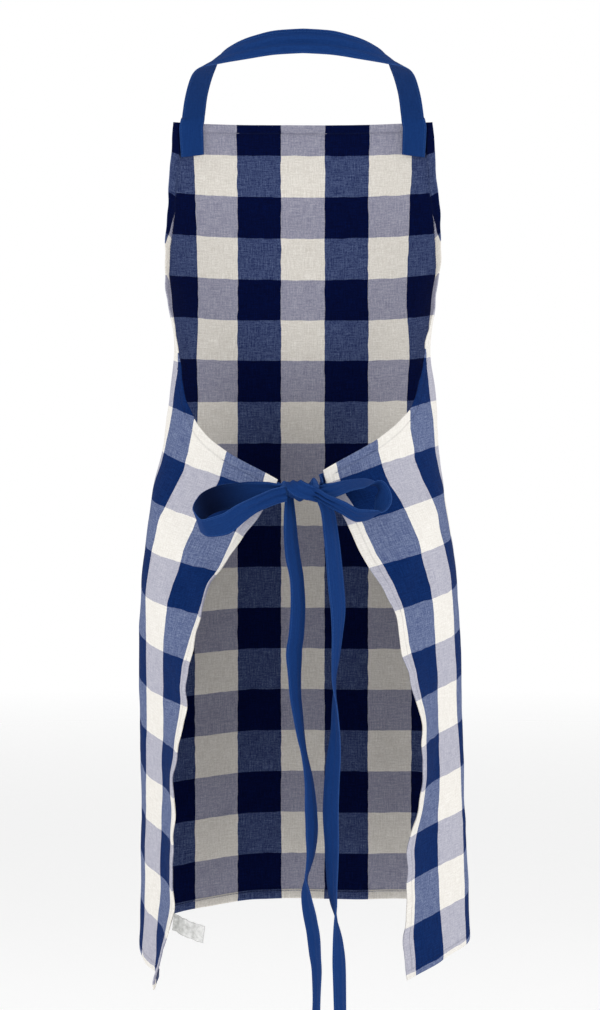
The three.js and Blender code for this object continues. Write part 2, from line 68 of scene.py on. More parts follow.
# Half width of the bib above the waist corner: row, half width in checks
ARMHOLE = np.array([
    [11.3, 7.8], [11.36, 7.5], [11.54, 6.5], [11.95, 5.5], [12.5, 4.95], [13.2, 4.5],
    [15, 3.75], [17, 3.2], [18.75, 2.95],
])

# Heading of each row of the cloth in plan, degrees from straight across, at these checks from the centre
STATIONS = np.array([0, 1.5, 3, 4, 5, 6, 7.2])
# row, at 1.5, at 3, at 4, at 5, at 6, at 7.2
HEADINGS_LEFT = np.array([
    [0, 0, 26, 74, 98, 107, 92],
    [2, 0, 26, 74, 104, 113, 102],
    [4, 0, 26, 74, 104, 113, 102],
    [6, 2, 28, 74, 104, 117, 111],
    [8, 5, 34, 74, 98, 120, 124],
    [10, 9, 45, 84, 108, 135, 142],
    [11, 12, 52, 92, 118, 146, 158],
    [12, 14, 58, 97, 118, 148, 162],
    [13.2, 16, 62, 97, 118, 150, 165],
    [15, 15, 52, 85, 105, 120, 140],
    [18.8, 8, 24, 40, 50, 60, 70],
])
HEADINGS_RIGHT = np.array([
    [0, 0, 22, 75, 94, 125, 136],
    [2, 0, 24, 77, 96, 128, 124],
    [4, 0, 27, 80, 97, 123, 108],
    [4.8, 0.8, 29, 81, 97, 121, 103],
    [6.2, 2.4, 31, 82, 98, 118, 118],
    [8, 5, 38, 83, 101, 118, 134],
    [10, 11, 51, 90, 109, 128, 172],
    [11, 14, 58, 95, 117, 140, 164],
    [12, 16, 61, 97, 119, 143, 164],
    [13.2, 17, 64, 98, 118, 150, 165],
    [15, 15, 52, 85, 105, 120, 140],
    [18.8, 8, 24, 40, 50, 60, 70],
])

# How far the cloth sinks below the front centre, in check heights, at these checks from the centre
DROP_STATIONS = np.array([0, 1, 2.5, 4.5, 6, 7.8])
# row, at 2.5, at 4.5, at 6, at 7.8
DROPS_LEFT = np.array([
    [0, 0.23, 0.62, 0.98, 1.12],
    [2, 0.19, 0.54, 0.88, 1.06],
    [6, 0.12, 0.44, 0.8, 0.96],
    [8, 0.09, 0.36, 0.7, 0.96],
    [10, 0.07, 0.32, 0.67, 1.16],
    [11.3, 0.05, 0.28, 0.7, 1.23],
    [13.2, 0, 0.19, 0.46, 0.7],
    [18.8, 0, 0.05, 0.1, 0.14],
])
DROPS_RIGHT = np.array([
    [0, 0, 0.46, 0.7, 1.02],
    [2, 0, 0.4, 0.67, 0.93],
    [6, 0, 0.36, 0.6, 0.84],
    [8, 0, 0.3, 0.52, 0.84],
    [10, 0, 0.19, 0.44, 0.93],
    [11.3, 0, 0.14, 0.44, 1.02],
    [13.2, 0, 0.1, 0.37, 0.65],
    [18.8, 0, 0.05, 0.1, 0.14],
])

# Depth of the front centre line before the neck, in check widths: row, depth
FRONT_DEPTH = np.array([
    [0, 4.58], [4, 4.52], [8, 4.3], [11.3, 3.99], [13.2, 4.12], [15.2, 4.34], [17, 3.99], [18.8, 3.33],
])

# Soft folds: checks across and row of the middle, lean in degrees from upright,
# half width in checks, half length in rows, height in millimetres
FOLDS = [
    [5.9, 9.6, 62, 0.32, 1.9, 3.0],
    [6.6, 8.7, 40, 0.28, 1.8, -2.6],
    [-5.8, 9.7, -62, 0.32, 1.9, 3.0],
    [-6.7, 8.6, -38, 0.28, 1.8, -2.6],
    [3.4, 3.2, 4, 0.6, 4.2, 4.3],
    [-3.3, 3.6, -4, 0.6, 4.4, 4.3],
    [1.6, 1.6, -3, 0.8, 3.4, -4.3],
    [-1.4, 2.0, 2, 0.8, 3.8, -3.9],
    [0.2, 4.4, 0, 0.9, 4.0, 2.6],
    [2.6, 13.0, 50, 0.45, 2.2, 3.4],
    [-2.7, 12.9, -50, 0.45, 2.2, 3.4],
    [1.2, 16.4, 24, 0.5, 2.2, 2.2],
    [-1.3, 16.2, -28, 0.5, 2.3, 2.2],
    # Finer drag lines and creases
    [6.9, 10.5, 68, 0.14, 1.3, 1.1],
    [6.2, 10.6, 74, 0.12, 1.6, -0.9],
    [5.2, 9.9, 66, 0.16, 1.5, 0.9],
    [-6.9, 10.5, -68, 0.14, 1.3, 1.1],
    [-6.1, 10.7, -74, 0.12, 1.6, -0.9],
    [-5.1, 9.8, -66, 0.16, 1.5, 0.9],
    [6.7, 6.1, 12, 0.2, 1.4, 1.0],
    [-6.8, 5.6, -10, 0.2, 1.6, 1.1],
    [4.6, 7.3, 18, 0.24, 2.4, 1.0],
    [-4.7, 6.9, -16, 0.24, 2.2, 1.0],
    [5.6, 2.6, 6, 0.22, 2.2, 1.2],
    [-5.4, 2.9, -8, 0.22, 2.0, 1.2],
    [0.9, 8.6, 14, 0.3, 2.2, 0.9],
    [-0.8, 9.4, -18, 0.28, 2.0, -0.9],
]

# Waves along the hems: how long one is in millimetres, its height, how far in it fades, its phase
BACK_EDGE_WAVES = [[92, 1.7, 26, 0.4], [47, 0.8, 18, 1.9], [27, 0.4, 12, 0.7]]
ARMHOLE_WAVES = [[74, 0.7, 20, 0.9], [33, 0.3, 14, 2.2]]
BOTTOM_WAVES = [[118, 1.8, 34, 1.1], [53, 0.6, 22, 0.2]]
# Small puckers where the hem is stitched: wavelength, height, distance of their middle from the edge, reach
PUCKER = [10.5, 0.24, 6.5, 5.0]
# Unevenness of the puckers: least share, added share, and three lengths in millimetres that it varies over
PUCKER_LEAST, PUCKER_ADDED = 0.6, 0.4
PUCKER_LONG, PUCKER_MIDDLE, PUCKER_SHORT = 37.0, 23.0, 19.0
# How far the waves of the right side are moved along its back edge and its armhole, in millimetres
BACK_EDGE_SHIFT, ARMHOLE_SHIFT = 40.0, 31.0
# Rows over which the back edge's waves give way to the armhole's
WAIST_BLEND = 0.12
# Low uneven swells of the woven cloth: wavelength, height, seed
SWELLS = [[150, 1.1, 11], [62, 0.38, 12], [27, 0.13, 13]]

# Section of the hem: distance from the edge, outer face, inner face, from the middle of the cloth
HEM_SECTION = np.array([
    [0.0, 0.12, -0.5],
    [0.4, 0.36, -1.1],
    [1.3, 0.46, -1.4],
    [4.4, 0.54, -1.5],
    [7.4, 0.46, -1.4],
    [8.2, 0.22, -1.2],
    [8.9, 0.44, -1.05],
    [9.7, 0.4, -0.4],
])
RIM_REACH = 0.35
EDGE_STEP = 2.6
GRID_STEP = 4.0
GRID_CLEAR = 2.3
STITCH_FROM_EDGE = 8.2
# Distance from the edge that stands for all of the cloth inside its hems
FAR_FROM_EDGE = 50.0

# Tape tables, lengths in tape widths
# Neck strap from the bib corner to the back of the neck: out, back, up, across x, across y, across z
NECK_STRAP = np.array([
    [4.46, -5.3, -2.0, -0.92, -0.4, 0.1],
    [4.3, -4.45, -1.3, -0.92, -0.38, 0.2],
    [3.95, -3.1, -0.6, -0.88, -0.3, 0.25],
    [3.6, -2.1, -0.36, -0.72, -0.3, 0.5],
    [2.95, -1.3, -0.24, -0.5, -0.3, 0.75],
    [2.0, -0.6, -0.12, -0.3, -0.2, 0.95],
    [1.0, -0.14, -0.03, -0.1, -0.12, 1],
    [0, 0, 0, 0, -0.1, 1],
])
# Bow from the middle of the knot: out, back, up, across x, across y, across z, share of the tape width
LOOP_LEFT = np.array([
    [0.83, 0.12, 0.02, 0, 0.1, 1, 0.5],
    [1.2, 0.1, 0.0, 0, 0.1, 1, 0.66],
    [2.1, 0.1, -0.14, -0.1, 0.15, 1, 0.95],
    [3.02, 0.22, -0.28, -0.1, 0.2, 1, 1],
    [3.64, 0.5, -0.6, 0.1, 0.3, 0.95, 1],
    [3.86, 0.9, -1.04, 0.25, 0.5, 0.85, 1],
    [3.52, 1.24, -1.4, 0.25, 0.72, 0.65, 1],
    [2.85, 1.32, -1.27, 0.2, 0.6, 0.8, 0.98],
    [2.2, 1.2, -0.84, 0.35, 0.5, 0.8, 0.8],
    [1.6, 0.98, -0.5, 0.3, 0.4, 0.85, 0.64],
    [0.88, 0.6, -0.2, 0.1, 0.1, 1, 0.6],
])
LOOP_RIGHT = np.array([
    [0.755, 0.13, -0.04, 0, -0.2, 1, 0.46],
    [1.15, 0.13, 0.0, 0, -0.75, 0.7, 0.8],
    [1.85, 0.1, 0.2, 0, -0.9, 0.45, 1],
    [2.45, 0.12, 0.28, -0.2, -0.95, 0.35, 1],
    [2.95, 0.3, 0.1, -0.5, -0.85, 0.2, 1],
    [3.1, 0.5, -0.4, -0.6, -0.78, 0, 1],
    [2.8, 0.66, -0.9, -0.4, -0.85, -0.3, 1],
    [2.2, 0.82, -0.94, -0.1, -0.85, -0.5, 0.88],
    [1.6, 0.84, -0.65, -0.1, -0.75, -0.65, 0.66],
    [0.98, 0.68, -0.34, 0, -0.4, -0.85, 0.4],
    [0.6, 0.52, -0.12, 0, -0.2, -0.95, 0.36],
])
# Hanging tails: share of the tail's length, sideways in tape widths from the knot, turn in degrees
TAIL_LEFT = np.array([
    [0, 0.44, 56], [0.03, 0.42, 52], [0.075, 0.38, 50], [0.115, 0.3, 47], [0.16, 0.14, 51], [0.205, 0.1, 48],
    [0.26, 0.16, 45], [0.295, 0.25, 43], [0.335, 0.23, 54], [0.37, 0.2, 59], [0.405, 0.11, 64],
    [0.445, 0, 71], [0.48, -0.13, 77], [0.535, -0.32, 67], [0.585, -0.39, 57], [0.62, -0.42, 56],
    [0.655, -0.4, 65], [0.685, -0.31, 76], [0.71, -0.18, 91], [0.74, -0.21, 118], [0.78, -0.35, 130],
    [0.815, -0.48, 129], [0.85, -0.54, 124], [0.885, -0.6, 117], [0.94, -0.59, 110], [1, -0.52, 110],
])
TAIL_RIGHT = np.array([
    [0, -0.44, 66], [0.02, -0.78, 52], [0.045, -1.03, 42], [0.085, -1.15, 44], [0.175, -1.33, 41],
    [0.225, -1.41, 48], [0.265, -1.38, 60], [0.31, -1.31, 70], [0.355, -1.24, 84], [0.405, -1.28, 105],
    [0.445, -1.3, 115], [0.495, -1.24, 131], [0.54, -1.17, 136], [0.595, -1.13, 138], [0.655, -1.17, 132],
    [0.72, -1.18, 120], [0.76, -1.23, 108], [0.785, -1.28, 90], [0.835, -1.4, 62], [0.88, -1.45, 53],
    [1, -1.5, 58],
])
TAIL_SHARE = 0.8
TAIL_CUP = 0.08
# How far a tail starts up in the knot, and how its width opens from the knot's grip, in millimetres and share
TAIL_TUCK = 9.0
TAIL_BUNCH = 22.0
TAIL_BUNCHED = 0.55
# Knot: share along its width, half depth, half height, rise, in tape widths
KNOT = np.array([
    [-0.71, 0.24, 0.22, 0.06], [-0.66, 0.3, 0.32, 0.06], [-0.5, 0.36, 0.42, 0.06], [-0.3, 0.38, 0.36, 0],
    [-0.16, 0.46, 0.46, 0.02], [0.1, 0.5, 0.5, 0], [0.34, 0.46, 0.44, 0.02], [0.48, 0.38, 0.36, 0.02],
    [0.62, 0.34, 0.38, 0.04], [0.74, 0.3, 0.3, 0.02], [0.79, 0.24, 0.2, 0],
])
KNOT_FORWARD = 0.55
KNOT_BELOW_CORNERS = 0.6
TAPE_HALF = 0.65


def tangents(places, values):
    """Slopes at the table's rows that keep the curve through them from overshooting."""
    widths = np.diff(places).reshape(-1, *[1] * (values.ndim - 1))
    slopes = np.diff(values, axis=0) / widths
    result = np.zeros_like(values)
    result[0] = slopes[0]
    result[-1] = slopes[-1]
    before, after = slopes[:-1], slopes[1:]
    first = 2 * widths[1:] + widths[:-1]
    second = widths[1:] + 2 * widths[:-1]
    same = before * after > 0
    safe_before = np.where(same, before, 1.0)
    safe_after = np.where(same, after, 1.0)
    result[1:-1] = np.where(same, (first + second) / (first / safe_before + second / safe_after), 0.0)
    return result


def read(places, values, slopes, at):
    """The curve at an array of places; values has a row for each place, maybe a column for each of at."""
    x = np.clip(at, places[0], places[-1])
    i = np.clip(np.searchsorted(places, x, side="right") - 1, 0, len(places) - 2)
    step = places[i + 1] - places[i]
    t = (x - places[i]) / step
    rest = 1 - t
    if values.ndim == 2:
        n = np.arange(values.shape[1])
        low, high, out, into = values[i, n], values[i + 1, n], slopes[i, n], slopes[i + 1, n]
    else:
        low, high, out, into = values[i], values[i + 1], slopes[i], slopes[i + 1]
    return ((1 + 2 * t) * rest * rest * low + t * rest * rest * step * out
            + t * t * (3 - 2 * t) * high - t * t * rest * step * into)


def curve(places, values, at):
    """The smooth curve through a table's values, read at any places."""
    values = np.asarray(values, float)
    places = np.asarray(places, float)
    return read(places, values, tangents(places, values), np.asarray(at, float))


def column(table, index, at):
    """One column of a table whose first column holds the places."""
    return curve(table[:, 0], table[:, index], at)


def unit(a):
    """Vectors of length 1."""
    return a / np.linalg.norm(a, axis=-1, keepdims=True)


def walked(points):
    """Length along a line of points at each of them."""
    return np.concatenate([[0], np.cumsum(np.linalg.norm(np.diff(points, axis=0), axis=1))])


# Heights of the front centre line, walked down from the top of the bib so that its length is kept
profile_rows = TOP_ROW - np.arange(PROFILE_STEPS + 1) * ROWS_TALL / PROFILE_STEPS
profile_depths = column(FRONT_DEPTH, 1, profile_rows) * CHECK_W
profile_falls = np.sqrt((ROWS_TALL / PROFILE_STEPS * CHECK_H) ** 2 - np.diff(profile_depths) ** 2)
profile_heights = -BIB_TOP_DROP - np.concatenate([[0], np.cumsum(profile_falls)])


def front_height(rows):
    """Height of the front centre line, carried on straight past its ends."""
    inside = np.interp(rows, profile_rows[::-1], profile_heights[::-1])
    past = np.minimum(rows - HEM_ROW, 0) + np.maximum(rows - TOP_ROW, 0)
    return inside + past * CHECK_H


# The left back edge below the waist: its last full check lies flatter and its hem turns away
HEM_TURN_ROW, HEM_TURN_LONG = 8.9, 1.2
FLATTER_CHECK, FLATTER_WIDE, FLATTER_BY = 6.85, 0.7, 22.0
HEM_TURN_STARTS, HEM_TURN_ENDS, HEM_TURN_BY = 7.35, 7.6, 56.0


def hem_turn(checks, rows):
    """Degrees added to the heading of the cloth near the left back edge."""
    level = np.exp(-((rows - HEM_TURN_ROW) / HEM_TURN_LONG) ** 2)
    flatter = FLATTER_BY * np.exp(-((checks - FLATTER_CHECK) / FLATTER_WIDE) ** 2)
    share = np.clip((checks - HEM_TURN_STARTS) / (HEM_TURN_ENDS - HEM_TURN_STARTS), 0, 1)
    return level * (flatter - HEM_TURN_BY * share * share * (3 - 2 * share))


def hang(checks, rows):
    """Points of the smooth hang: checks across from the centre, + on the +X side, and rows up."""
    left = checks >= 0
    heading = np.zeros((len(STATIONS), len(checks)))
    for i in range(1, len(STATIONS)):
        heading[i] = np.where(left, column(HEADINGS_LEFT, i, rows), column(HEADINGS_RIGHT, i, rows))
    drop = np.zeros((len(DROP_STATIONS), len(checks)))
    for i in range(2, len(DROP_STATIONS)):
        drop[i] = np.where(left, column(DROPS_LEFT, i - 1, rows), column(DROPS_RIGHT, i - 1, rows))
    heading_slopes = tangents(STATIONS, heading)
    drop_slopes = tangents(DROP_STATIONS, drop)
    step = np.abs(checks) / WALK_STEPS
    x = np.zeros(len(checks))
    y = np.zeros(len(checks))
    sunk = np.zeros(len(checks))
    for i in range(WALK_STEPS):
        at = (i + 0.5) * step
        smooth = read(STATIONS, heading, heading_slopes, at)
        angle = np.radians(smooth + np.where(left, hem_turn(at, rows), 0))
        lower = read(DROP_STATIONS, drop, drop_slopes, (i + 1) * step) * CHECK_H
        level = np.sqrt(np.maximum((step * CHECK_W) ** 2 - (lower - sunk) ** 2, 0))
        x += level * np.cos(angle)
        y += level * np.sin(angle)
        sunk = lower
    depth = column(FRONT_DEPTH, 1, rows) * CHECK_W
    return np.stack([np.where(left, x, -x), y - depth, front_height(rows) - sunk], axis=-1)


def swell(a, b, wavelength, seed, count=14):
    """Uneven waves over the cloth, about 1 high, the same in every run."""
    rng = np.random.default_rng(seed)
    total = np.zeros_like(a)
    for _ in range(count):
        way = rng.uniform(0, 2 * math.pi)
        long = wavelength * rng.uniform(0.7, 1.4)
        phase = rng.uniform(0, 2 * math.pi)
        total += np.sin((a * math.cos(way) + b * math.sin(way)) * 2 * math.pi / long + phase)
    return total / math.sqrt(count)


def edge_waves(waves, along, distance):
    """Lift by waves that run along an edge and fade inward."""
    return sum(height * np.sin(along * 2 * math.pi / long + phase) * np.exp(-np.maximum(distance, 0) / fade)
               for long, height, fade, phase in waves)


def relief(checks, rows):
    """How far folds, hem waves and puckers lift the cloth outward, in millimetres."""
    a = checks * CHECK_W
    b = rows * CHECK_H
    lift = np.zeros_like(a)
    for middle, level, lean, wide, long, height in FOLDS:
        dx = (checks - middle) * CHECK_W
        dz = (rows - level) * CHECK_H
        c, s = math.cos(math.radians(lean)), math.sin(math.radians(lean))
        off = (dx * c + dz * s) / (wide * CHECK_W)
        along = (dz * c - dx * s) / (long * CHECK_H)
        lift += height * np.exp(-off * off - along * along)
    for long, height, seed in SWELLS:
        lift += height * swell(a, b, long, seed)
    half = curve(ARMHOLE[:, 0], ARMHOLE[:, 1], rows)
    lean = np.gradient(ARMHOLE[:, 1] * CHECK_W, ARMHOLE[:, 0] * CHECK_H)
    slant = np.hypot(1, np.interp(rows, ARMHOLE[:, 0], lean, left=0))
    side = (half - np.abs(checks)) * CHECK_W / slant
    bottom = (rows - HEM_ROW) * CHECK_H
    top = (TOP_ROW - rows) * CHECK_H
    in_skirt = 1 / (1 + np.exp((rows - CORNER_ROW) / WAIST_BLEND))
    around = b - np.abs(a) + np.where(checks < 0, ARMHOLE_SHIFT, 0.0)
    lift += in_skirt * edge_waves(BACK_EDGE_WAVES, b + np.where(checks < 0, BACK_EDGE_SHIFT, 0.0), side)
    lift += (1 - in_skirt) * edge_waves(ARMHOLE_WAVES, around, side)
    lift += edge_waves(BOTTOM_WAVES, a, bottom)
    nearest = np.minimum(np.minimum(side, bottom), top)
    long, height, middle, reach = PUCKER
    follow = np.where(side < np.minimum(bottom, top), np.where(rows < CORNER_ROW, b, around), a)
    uneven = PUCKER_LEAST + PUCKER_ADDED * np.sin(follow / PUCKER_LONG) * np.sin(follow / PUCKER_MIDDLE + 1.0)
    bunch = np.exp(-((nearest - middle) / reach) ** 2)
    sway = 1.5 * np.sin(follow / PUCKER_SHORT)
    lift += height * uneven * bunch * np.sin(follow * 2 * math.pi / long + sway)
    return lift


# How far to each side the direction of the hang and that of the finished cloth are taken, in checks
HANG_REACH, CLOTH_REACH = 0.05, 0.03


def smooth_normal(checks, rows, surface, reach):
    """Outward direction of a surface."""
    across = surface(checks + reach, rows) - surface(checks - reach, rows)
    up = surface(checks, rows + reach) - surface(checks, rows - reach)
    return unit(np.cross(across, up))


def cloth(checks, rows):
    """Points of the finished cloth's middle."""
    return hang(checks, rows) + smooth_normal(checks, rows, hang, HANG_REACH) * relief(checks, rows)[:, None]


def cloth_frame(flat):
    """Points and outward directions for flat places in millimetres."""
    checks, rows = flat[:, 0] / CHECK_W, flat[:, 1] / CHECK_H
    return cloth(checks, rows), smooth_normal(checks, rows, cloth, CLOTH_REACH)


def mesh_object(name, points, faces, material, uv=None, edge=None):
    """Smooth-shaded object from points in millimetres; uv and edge hold a pair for each face corner."""
    mesh = bpy.data.meshes.new(name)
    mesh.from_pydata((np.asarray(points) * MM).tolist(), [], faces)
    for layer, values in (("cloth", uv), ("edge", edge)):
        if values is not None:
            data = mesh.uv_layers.new(name=layer).data
            data.foreach_set("uv", np.asarray(values, np.float32).ravel())
    mesh.shade_smooth()
    mesh.materials.append(material)
    thing = bpy.data.objects.new(name, mesh)
    bpy.context.scene.collection.objects.link(thing)
    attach(thing, "root")
    return thing


# Outline of the flat cloth, side by side, anticlockwise as seen from outside
armhole_flat = ARMHOLE[:, ::-1] * CHECK_SIZE
armhole_flat[-1, 1] = TOP_ROW * CHECK_H
armhole_places = walked(armhole_flat)


def armhole_point(share):
    """Flat points of the left armhole at shares of its length, from the waist corner up."""
    at = share * armhole_places[-1]
    return np.stack([curve(armhole_places, armhole_flat[:, i], at) for i in (0, 1)], axis=-1)


def straight(start, end):
    """A straight side of the outline."""
    return lambda share: start + np.asarray(share)[:, None] * (end - start)


flat_corner = np.array([HALF_CHECKS, HEM_ROW]) * CHECK_SIZE
waist_corner = np.array([HALF_CHECKS, CORNER_ROW]) * CHECK_SIZE
bib_corner = armhole_flat[-1]
MIRROR = np.array([-1, 1])
outline_sides = [
    straight(flat_corner * MIRROR, flat_corner),
    straight(flat_corner, waist_corner),
    armhole_point,
    straight(bib_corner, bib_corner * MIRROR),
    lambda share: armhole_point(1 - share) * MIRROR,
    straight(waist_corner * MIRROR, flat_corner * MIRROR),
]


def side_ways(side, share):
    """Unit direction along a side of the outline at shares of its length."""
    return unit(side(np.minimum(share + 0.002, 1)) - side(np.maximum(share - 0.002, 0)))


def inset_loop(distance, step=EDGE_STEP):
    """The outline moved inward by a distance, mitred at its corners, and the outline's points beside it."""
    points, feet = [], []
    for n, side in enumerate(outline_sides):
        fine = side(np.linspace(0, 1, 400))
        length = np.linalg.norm(np.diff(fine, axis=0), axis=1).sum()
        count = max(int(round(length / step)), 4)
        ends = []
        for here, there, own_end in ((outline_sides[n - 1], side, 0), (side, outline_sides[(n + 1) % 6], 1)):
            back = side_ways(here, np.array([1.0]))[0]
            ahead = side_ways(there, np.array([0.0]))[0]
            inner = math.pi - math.acos(max(-1, min(1, float(back @ ahead))))
            turn = back[0] * ahead[1] - back[1] * ahead[0]
            ends.append(math.copysign(1 / math.tan(inner / 2), turn) * distance / length)
        share = ends[0] + np.linspace(0, 1, count, endpoint=False) * (1 - ends[0] - ends[1])
        ways = side_ways(side, share)
        inward = np.stack([-ways[:, 1], ways[:, 0]], axis=-1)
        feet.append(side(share))
        points.append(feet[-1] + inward * distance)
    return np.concatenate(points), np.concatenate(feet)


def inside_polygon(points, polygon):
    """Which points lie inside a polygon."""
    x, y = points[:, 0], points[:, 1]
    result = np.zeros(len(points), bool)
    for (x0, y0), (x1, y1) in zip(polygon, np.roll(polygon, -1, axis=0)):
        crosses = (y0 > y) != (y1 > y)
        reach = (x1 - x0) * (y - y0) / (y1 - y0 if y1 != y0 else 1e-9) + x0
        result ^= crosses & (x < reach)
    return result


def panel():
    """Cloth with turned hems: strips along the edges, an even net inside, an outer and an inner face."""
    insets = [inset_loop(distance) for distance in HEM_SECTION[:, 0]]
    loops = [loop for loop, _ in insets]
    count = len(loops[0])
    last = len(loops) - 1
    a = np.arange(-CLOTH_WIDTH / 2, CLOTH_WIDTH / 2, GRID_STEP)
    b = np.arange(HEM_ROW * CHECK_H, TOP_ROW * CHECK_H, GRID_STEP)
    net = np.stack(np.meshgrid(a, b), axis=-1).reshape(-1, 2)
    net = net[inside_polygon(net, loops[last])]
    clear = np.ones(len(net), bool)
    for start in range(0, len(net), 2000):
        part = net[start:start + 2000]
        apart = np.linalg.norm(part[:, None] - loops[last][None], axis=2).min(axis=1)
        clear[start:start + 2000] = apart > GRID_CLEAR
    net = net[clear]
    flat = np.concatenate([*loops, net])
    inner_flat = np.concatenate([loops[last], net])
    ring = [(i, (i + 1) % count) for i in range(count)]
    found = delaunay_2d_cdt(inner_flat.tolist(), ring, [list(range(count))], 1, 1e-4)
    source = [origins[0] for origins in found[3]]
    base = last * count
    triangles = np.array([[base + source[i] for i in face] for face in found[2]])
    corners = flat[triangles]
    area = np.cross(corners[:, 1] - corners[:, 0], corners[:, 2] - corners[:, 0])
    triangles[area < 0] = triangles[area < 0][:, ::-1]

    points, normals = cloth_frame(flat)
    outer = np.concatenate([np.repeat(HEM_SECTION[:, 1], count), np.full(len(net), HEM_SECTION[-1, 1])])
    inner = np.concatenate([np.repeat(HEM_SECTION[:, 2], count), np.full(len(net), HEM_SECTION[-1, 2])])
    total = len(flat)
    out_points = points + normals * outer[:, None]
    in_points = points + normals * inner[:, None]
    beyond = unit(points[:count] - points[count:2 * count]) * RIM_REACH
    rim = (out_points[:count] + in_points[:count]) / 2 + beyond
    m = np.arange(count)
    n = (m + 1) % count
    faces, uvs, edges = [], [], []
    far = flat / CHECK_SIZE
    folded = (2 * np.concatenate([feet for _, feet in insets]) - flat[:len(insets) * count]) / CHECK_SIZE
    distance = np.concatenate([np.repeat(HEM_SECTION[:, 0], count), np.full(len(net), FAR_FROM_EDGE)])

    # The edge layer's second value is 1 on the inner face, whose colours the material darkens as painted shade
    def put(corner_ids, places, depths, inner_face=0.0):
        faces.extend(corner_ids.tolist())
        uvs.append(places.reshape(-1, 2))
        edges.append(np.stack([depths.ravel() * MM, np.full(depths.size, inner_face)], axis=-1))

    for level in range(last):
        low, high = level * count, (level + 1) * count
        quads = np.stack([low + m, low + n, high + n, high + m], 1)
        put(quads, far[quads], distance[quads])
        put(quads[:, ::-1] + total, folded[quads][:, ::-1], distance[quads][:, ::-1], 1.0)
    put(triangles, far[triangles], distance[triangles])
    put(triangles[:, ::-1] + total, far[triangles][:, ::-1], distance[triangles][:, ::-1], 1.0)
    over = np.stack([n, m, 2 * total + m, 2 * total + n], 1)
    under = np.stack([2 * total + n, 2 * total + m, total + m, total + n], 1)
    for quads in (over, under):
        put(quads, np.stack([far[n], far[m], far[m], far[n]], 1), np.zeros(quads.shape))
    return mesh_object("apron_cloth", np.concatenate([out_points, in_points, rim]), faces,
                       check_cotton, np.concatenate(uvs), np.concatenate(edges))


# Stitches: length, length with the gap, half thickness, and rings as shares of the length and the thickness
STITCH_LENGTH = 2.5
STITCH_PITCH = 3.1
STITCH_RADIUS = 0.24
STITCH_RINGS = [[0, 0.35], [0.14, 0.95], [0.86, 0.95], [1, 0.35]]
STITCH_SIDES = 5
# Distance from the edge whose tone the stitches take
STITCH_DEPTH_TONE = 7.4
# Row of the hem's section that the stitches lie on, and how far their middles stand off it, in radii
STITCH_SECTION, STITCH_STANDS = 5, 0.6


def stitches(name, starts, ends, outward, places, inner_face):
    """Small raised stitches between pairs of points, dyed as the cloth is at their places in checks, with the
    cloth's painted shade on the inner face.
    """
    along = ends - starts
    side = unit(np.cross(along, outward))
    rings = []
    for share, thick in STITCH_RINGS:
        for k in range(STITCH_SIDES):
            angle = 2 * math.pi * k / STITCH_SIDES
            rings.append(starts + along * share
                         + (side * math.cos(angle) + outward * math.sin(angle)) * STITCH_RADIUS * thick)
    points = np.stack(rings, axis=1)
    size = len(STITCH_RINGS) * STITCH_SIDES
    one = []
    for j in range(len(STITCH_RINGS) - 1):
        for k in range(STITCH_SIDES):
            after = (k + 1) % STITCH_SIDES
            low, high = j * STITCH_SIDES, (j + 1) * STITCH_SIDES
            one.append([low + k, high + k, high + after, low + after])
    one.append(list(range(STITCH_SIDES)))
    one.append(list(range(size - 1, size - STITCH_SIDES - 1, -1)))
    faces = [[corner + size * n for corner in face] for n in range(len(starts)) for face in one]
    corners = sum(len(face) for face in one)
    edge = np.stack([np.full(len(starts), STITCH_DEPTH_TONE * MM), inner_face], axis=-1)
    return mesh_object(name, points.reshape(-1, 3), faces, check_cotton,
                       np.repeat(places, corners, axis=0), np.repeat(edge, corners, axis=0))


def hem_stitches():
    """One line of stitches round the hem on each face of the cloth."""
    loop, _ = inset_loop(STITCH_FROM_EDGE, STITCH_PITCH)
    after = np.roll(loop, -1, axis=0)
    place = (after - loop) / np.linalg.norm(after - loop, axis=1)[:, None]
    start_flat = loop + place * (STITCH_PITCH - STITCH_LENGTH) / 2
    end_flat = start_flat + place * STITCH_LENGTH
    starts, normals = cloth_frame(start_flat)
    ends, _ = cloth_frame(end_flat)
    face_out = HEM_SECTION[STITCH_SECTION, 1] + STITCH_RADIUS * STITCH_STANDS
    face_in = HEM_SECTION[STITCH_SECTION, 2] - STITCH_RADIUS * STITCH_STANDS
    places = np.tile(loop / CHECK_SIZE, (2, 1))
    return stitches(
        "hem_stitching",
        np.concatenate([starts + normals * face_out, starts + normals * face_in]),
        np.concatenate([ends + normals * face_out, ends + normals * face_in]),
        np.concatenate([normals, normals]), places, np.repeat([0.0, 1.0], len(loop)))


# Section of the tape: place across from -1 to 1, and half thickness as a share
SECTION_PLACES = [0, 0.12, 0.25, 0.4, 0.55, 0.68, 0.78, 0.84, 0.88, 0.92, 0.965, 0.99]
SECTION_HALVES = [1, 1, 1, 1, 1, 1, 0.98, 0.84, 0.98, 1, 0.8, 0.4]
section_q = np.array([-q for q in SECTION_PLACES[:0:-1]] + SECTION_PLACES)
section_half = np.array(SECTION_HALVES[:0:-1] + SECTION_HALVES)


def strip_faces(rows, strip, turned=False):
    """Faces of a closed strip with that many points across: along it, then its first and its last end."""
    size = 2 * strip
    j, k = np.meshgrid(np.arange(rows - 1), np.arange(size), indexing="ij")
    after = (k + 1) % size
    low, high = j * size, (j + 1) * size
    quads = np.stack([low + k, low + after, high + after, high + k], -1).reshape(-1, 4)
    m = np.arange(strip - 1)
    first = np.stack([m, m + 1, size - 2 - m, size - 1 - m], -1)
    last = first + (rows - 1) * size
    if turned:
        return np.concatenate([quads[:, [0, 3, 2, 1]], first[:, ::-1], last])
    return np.concatenate([quads, first, last[:, ::-1]])


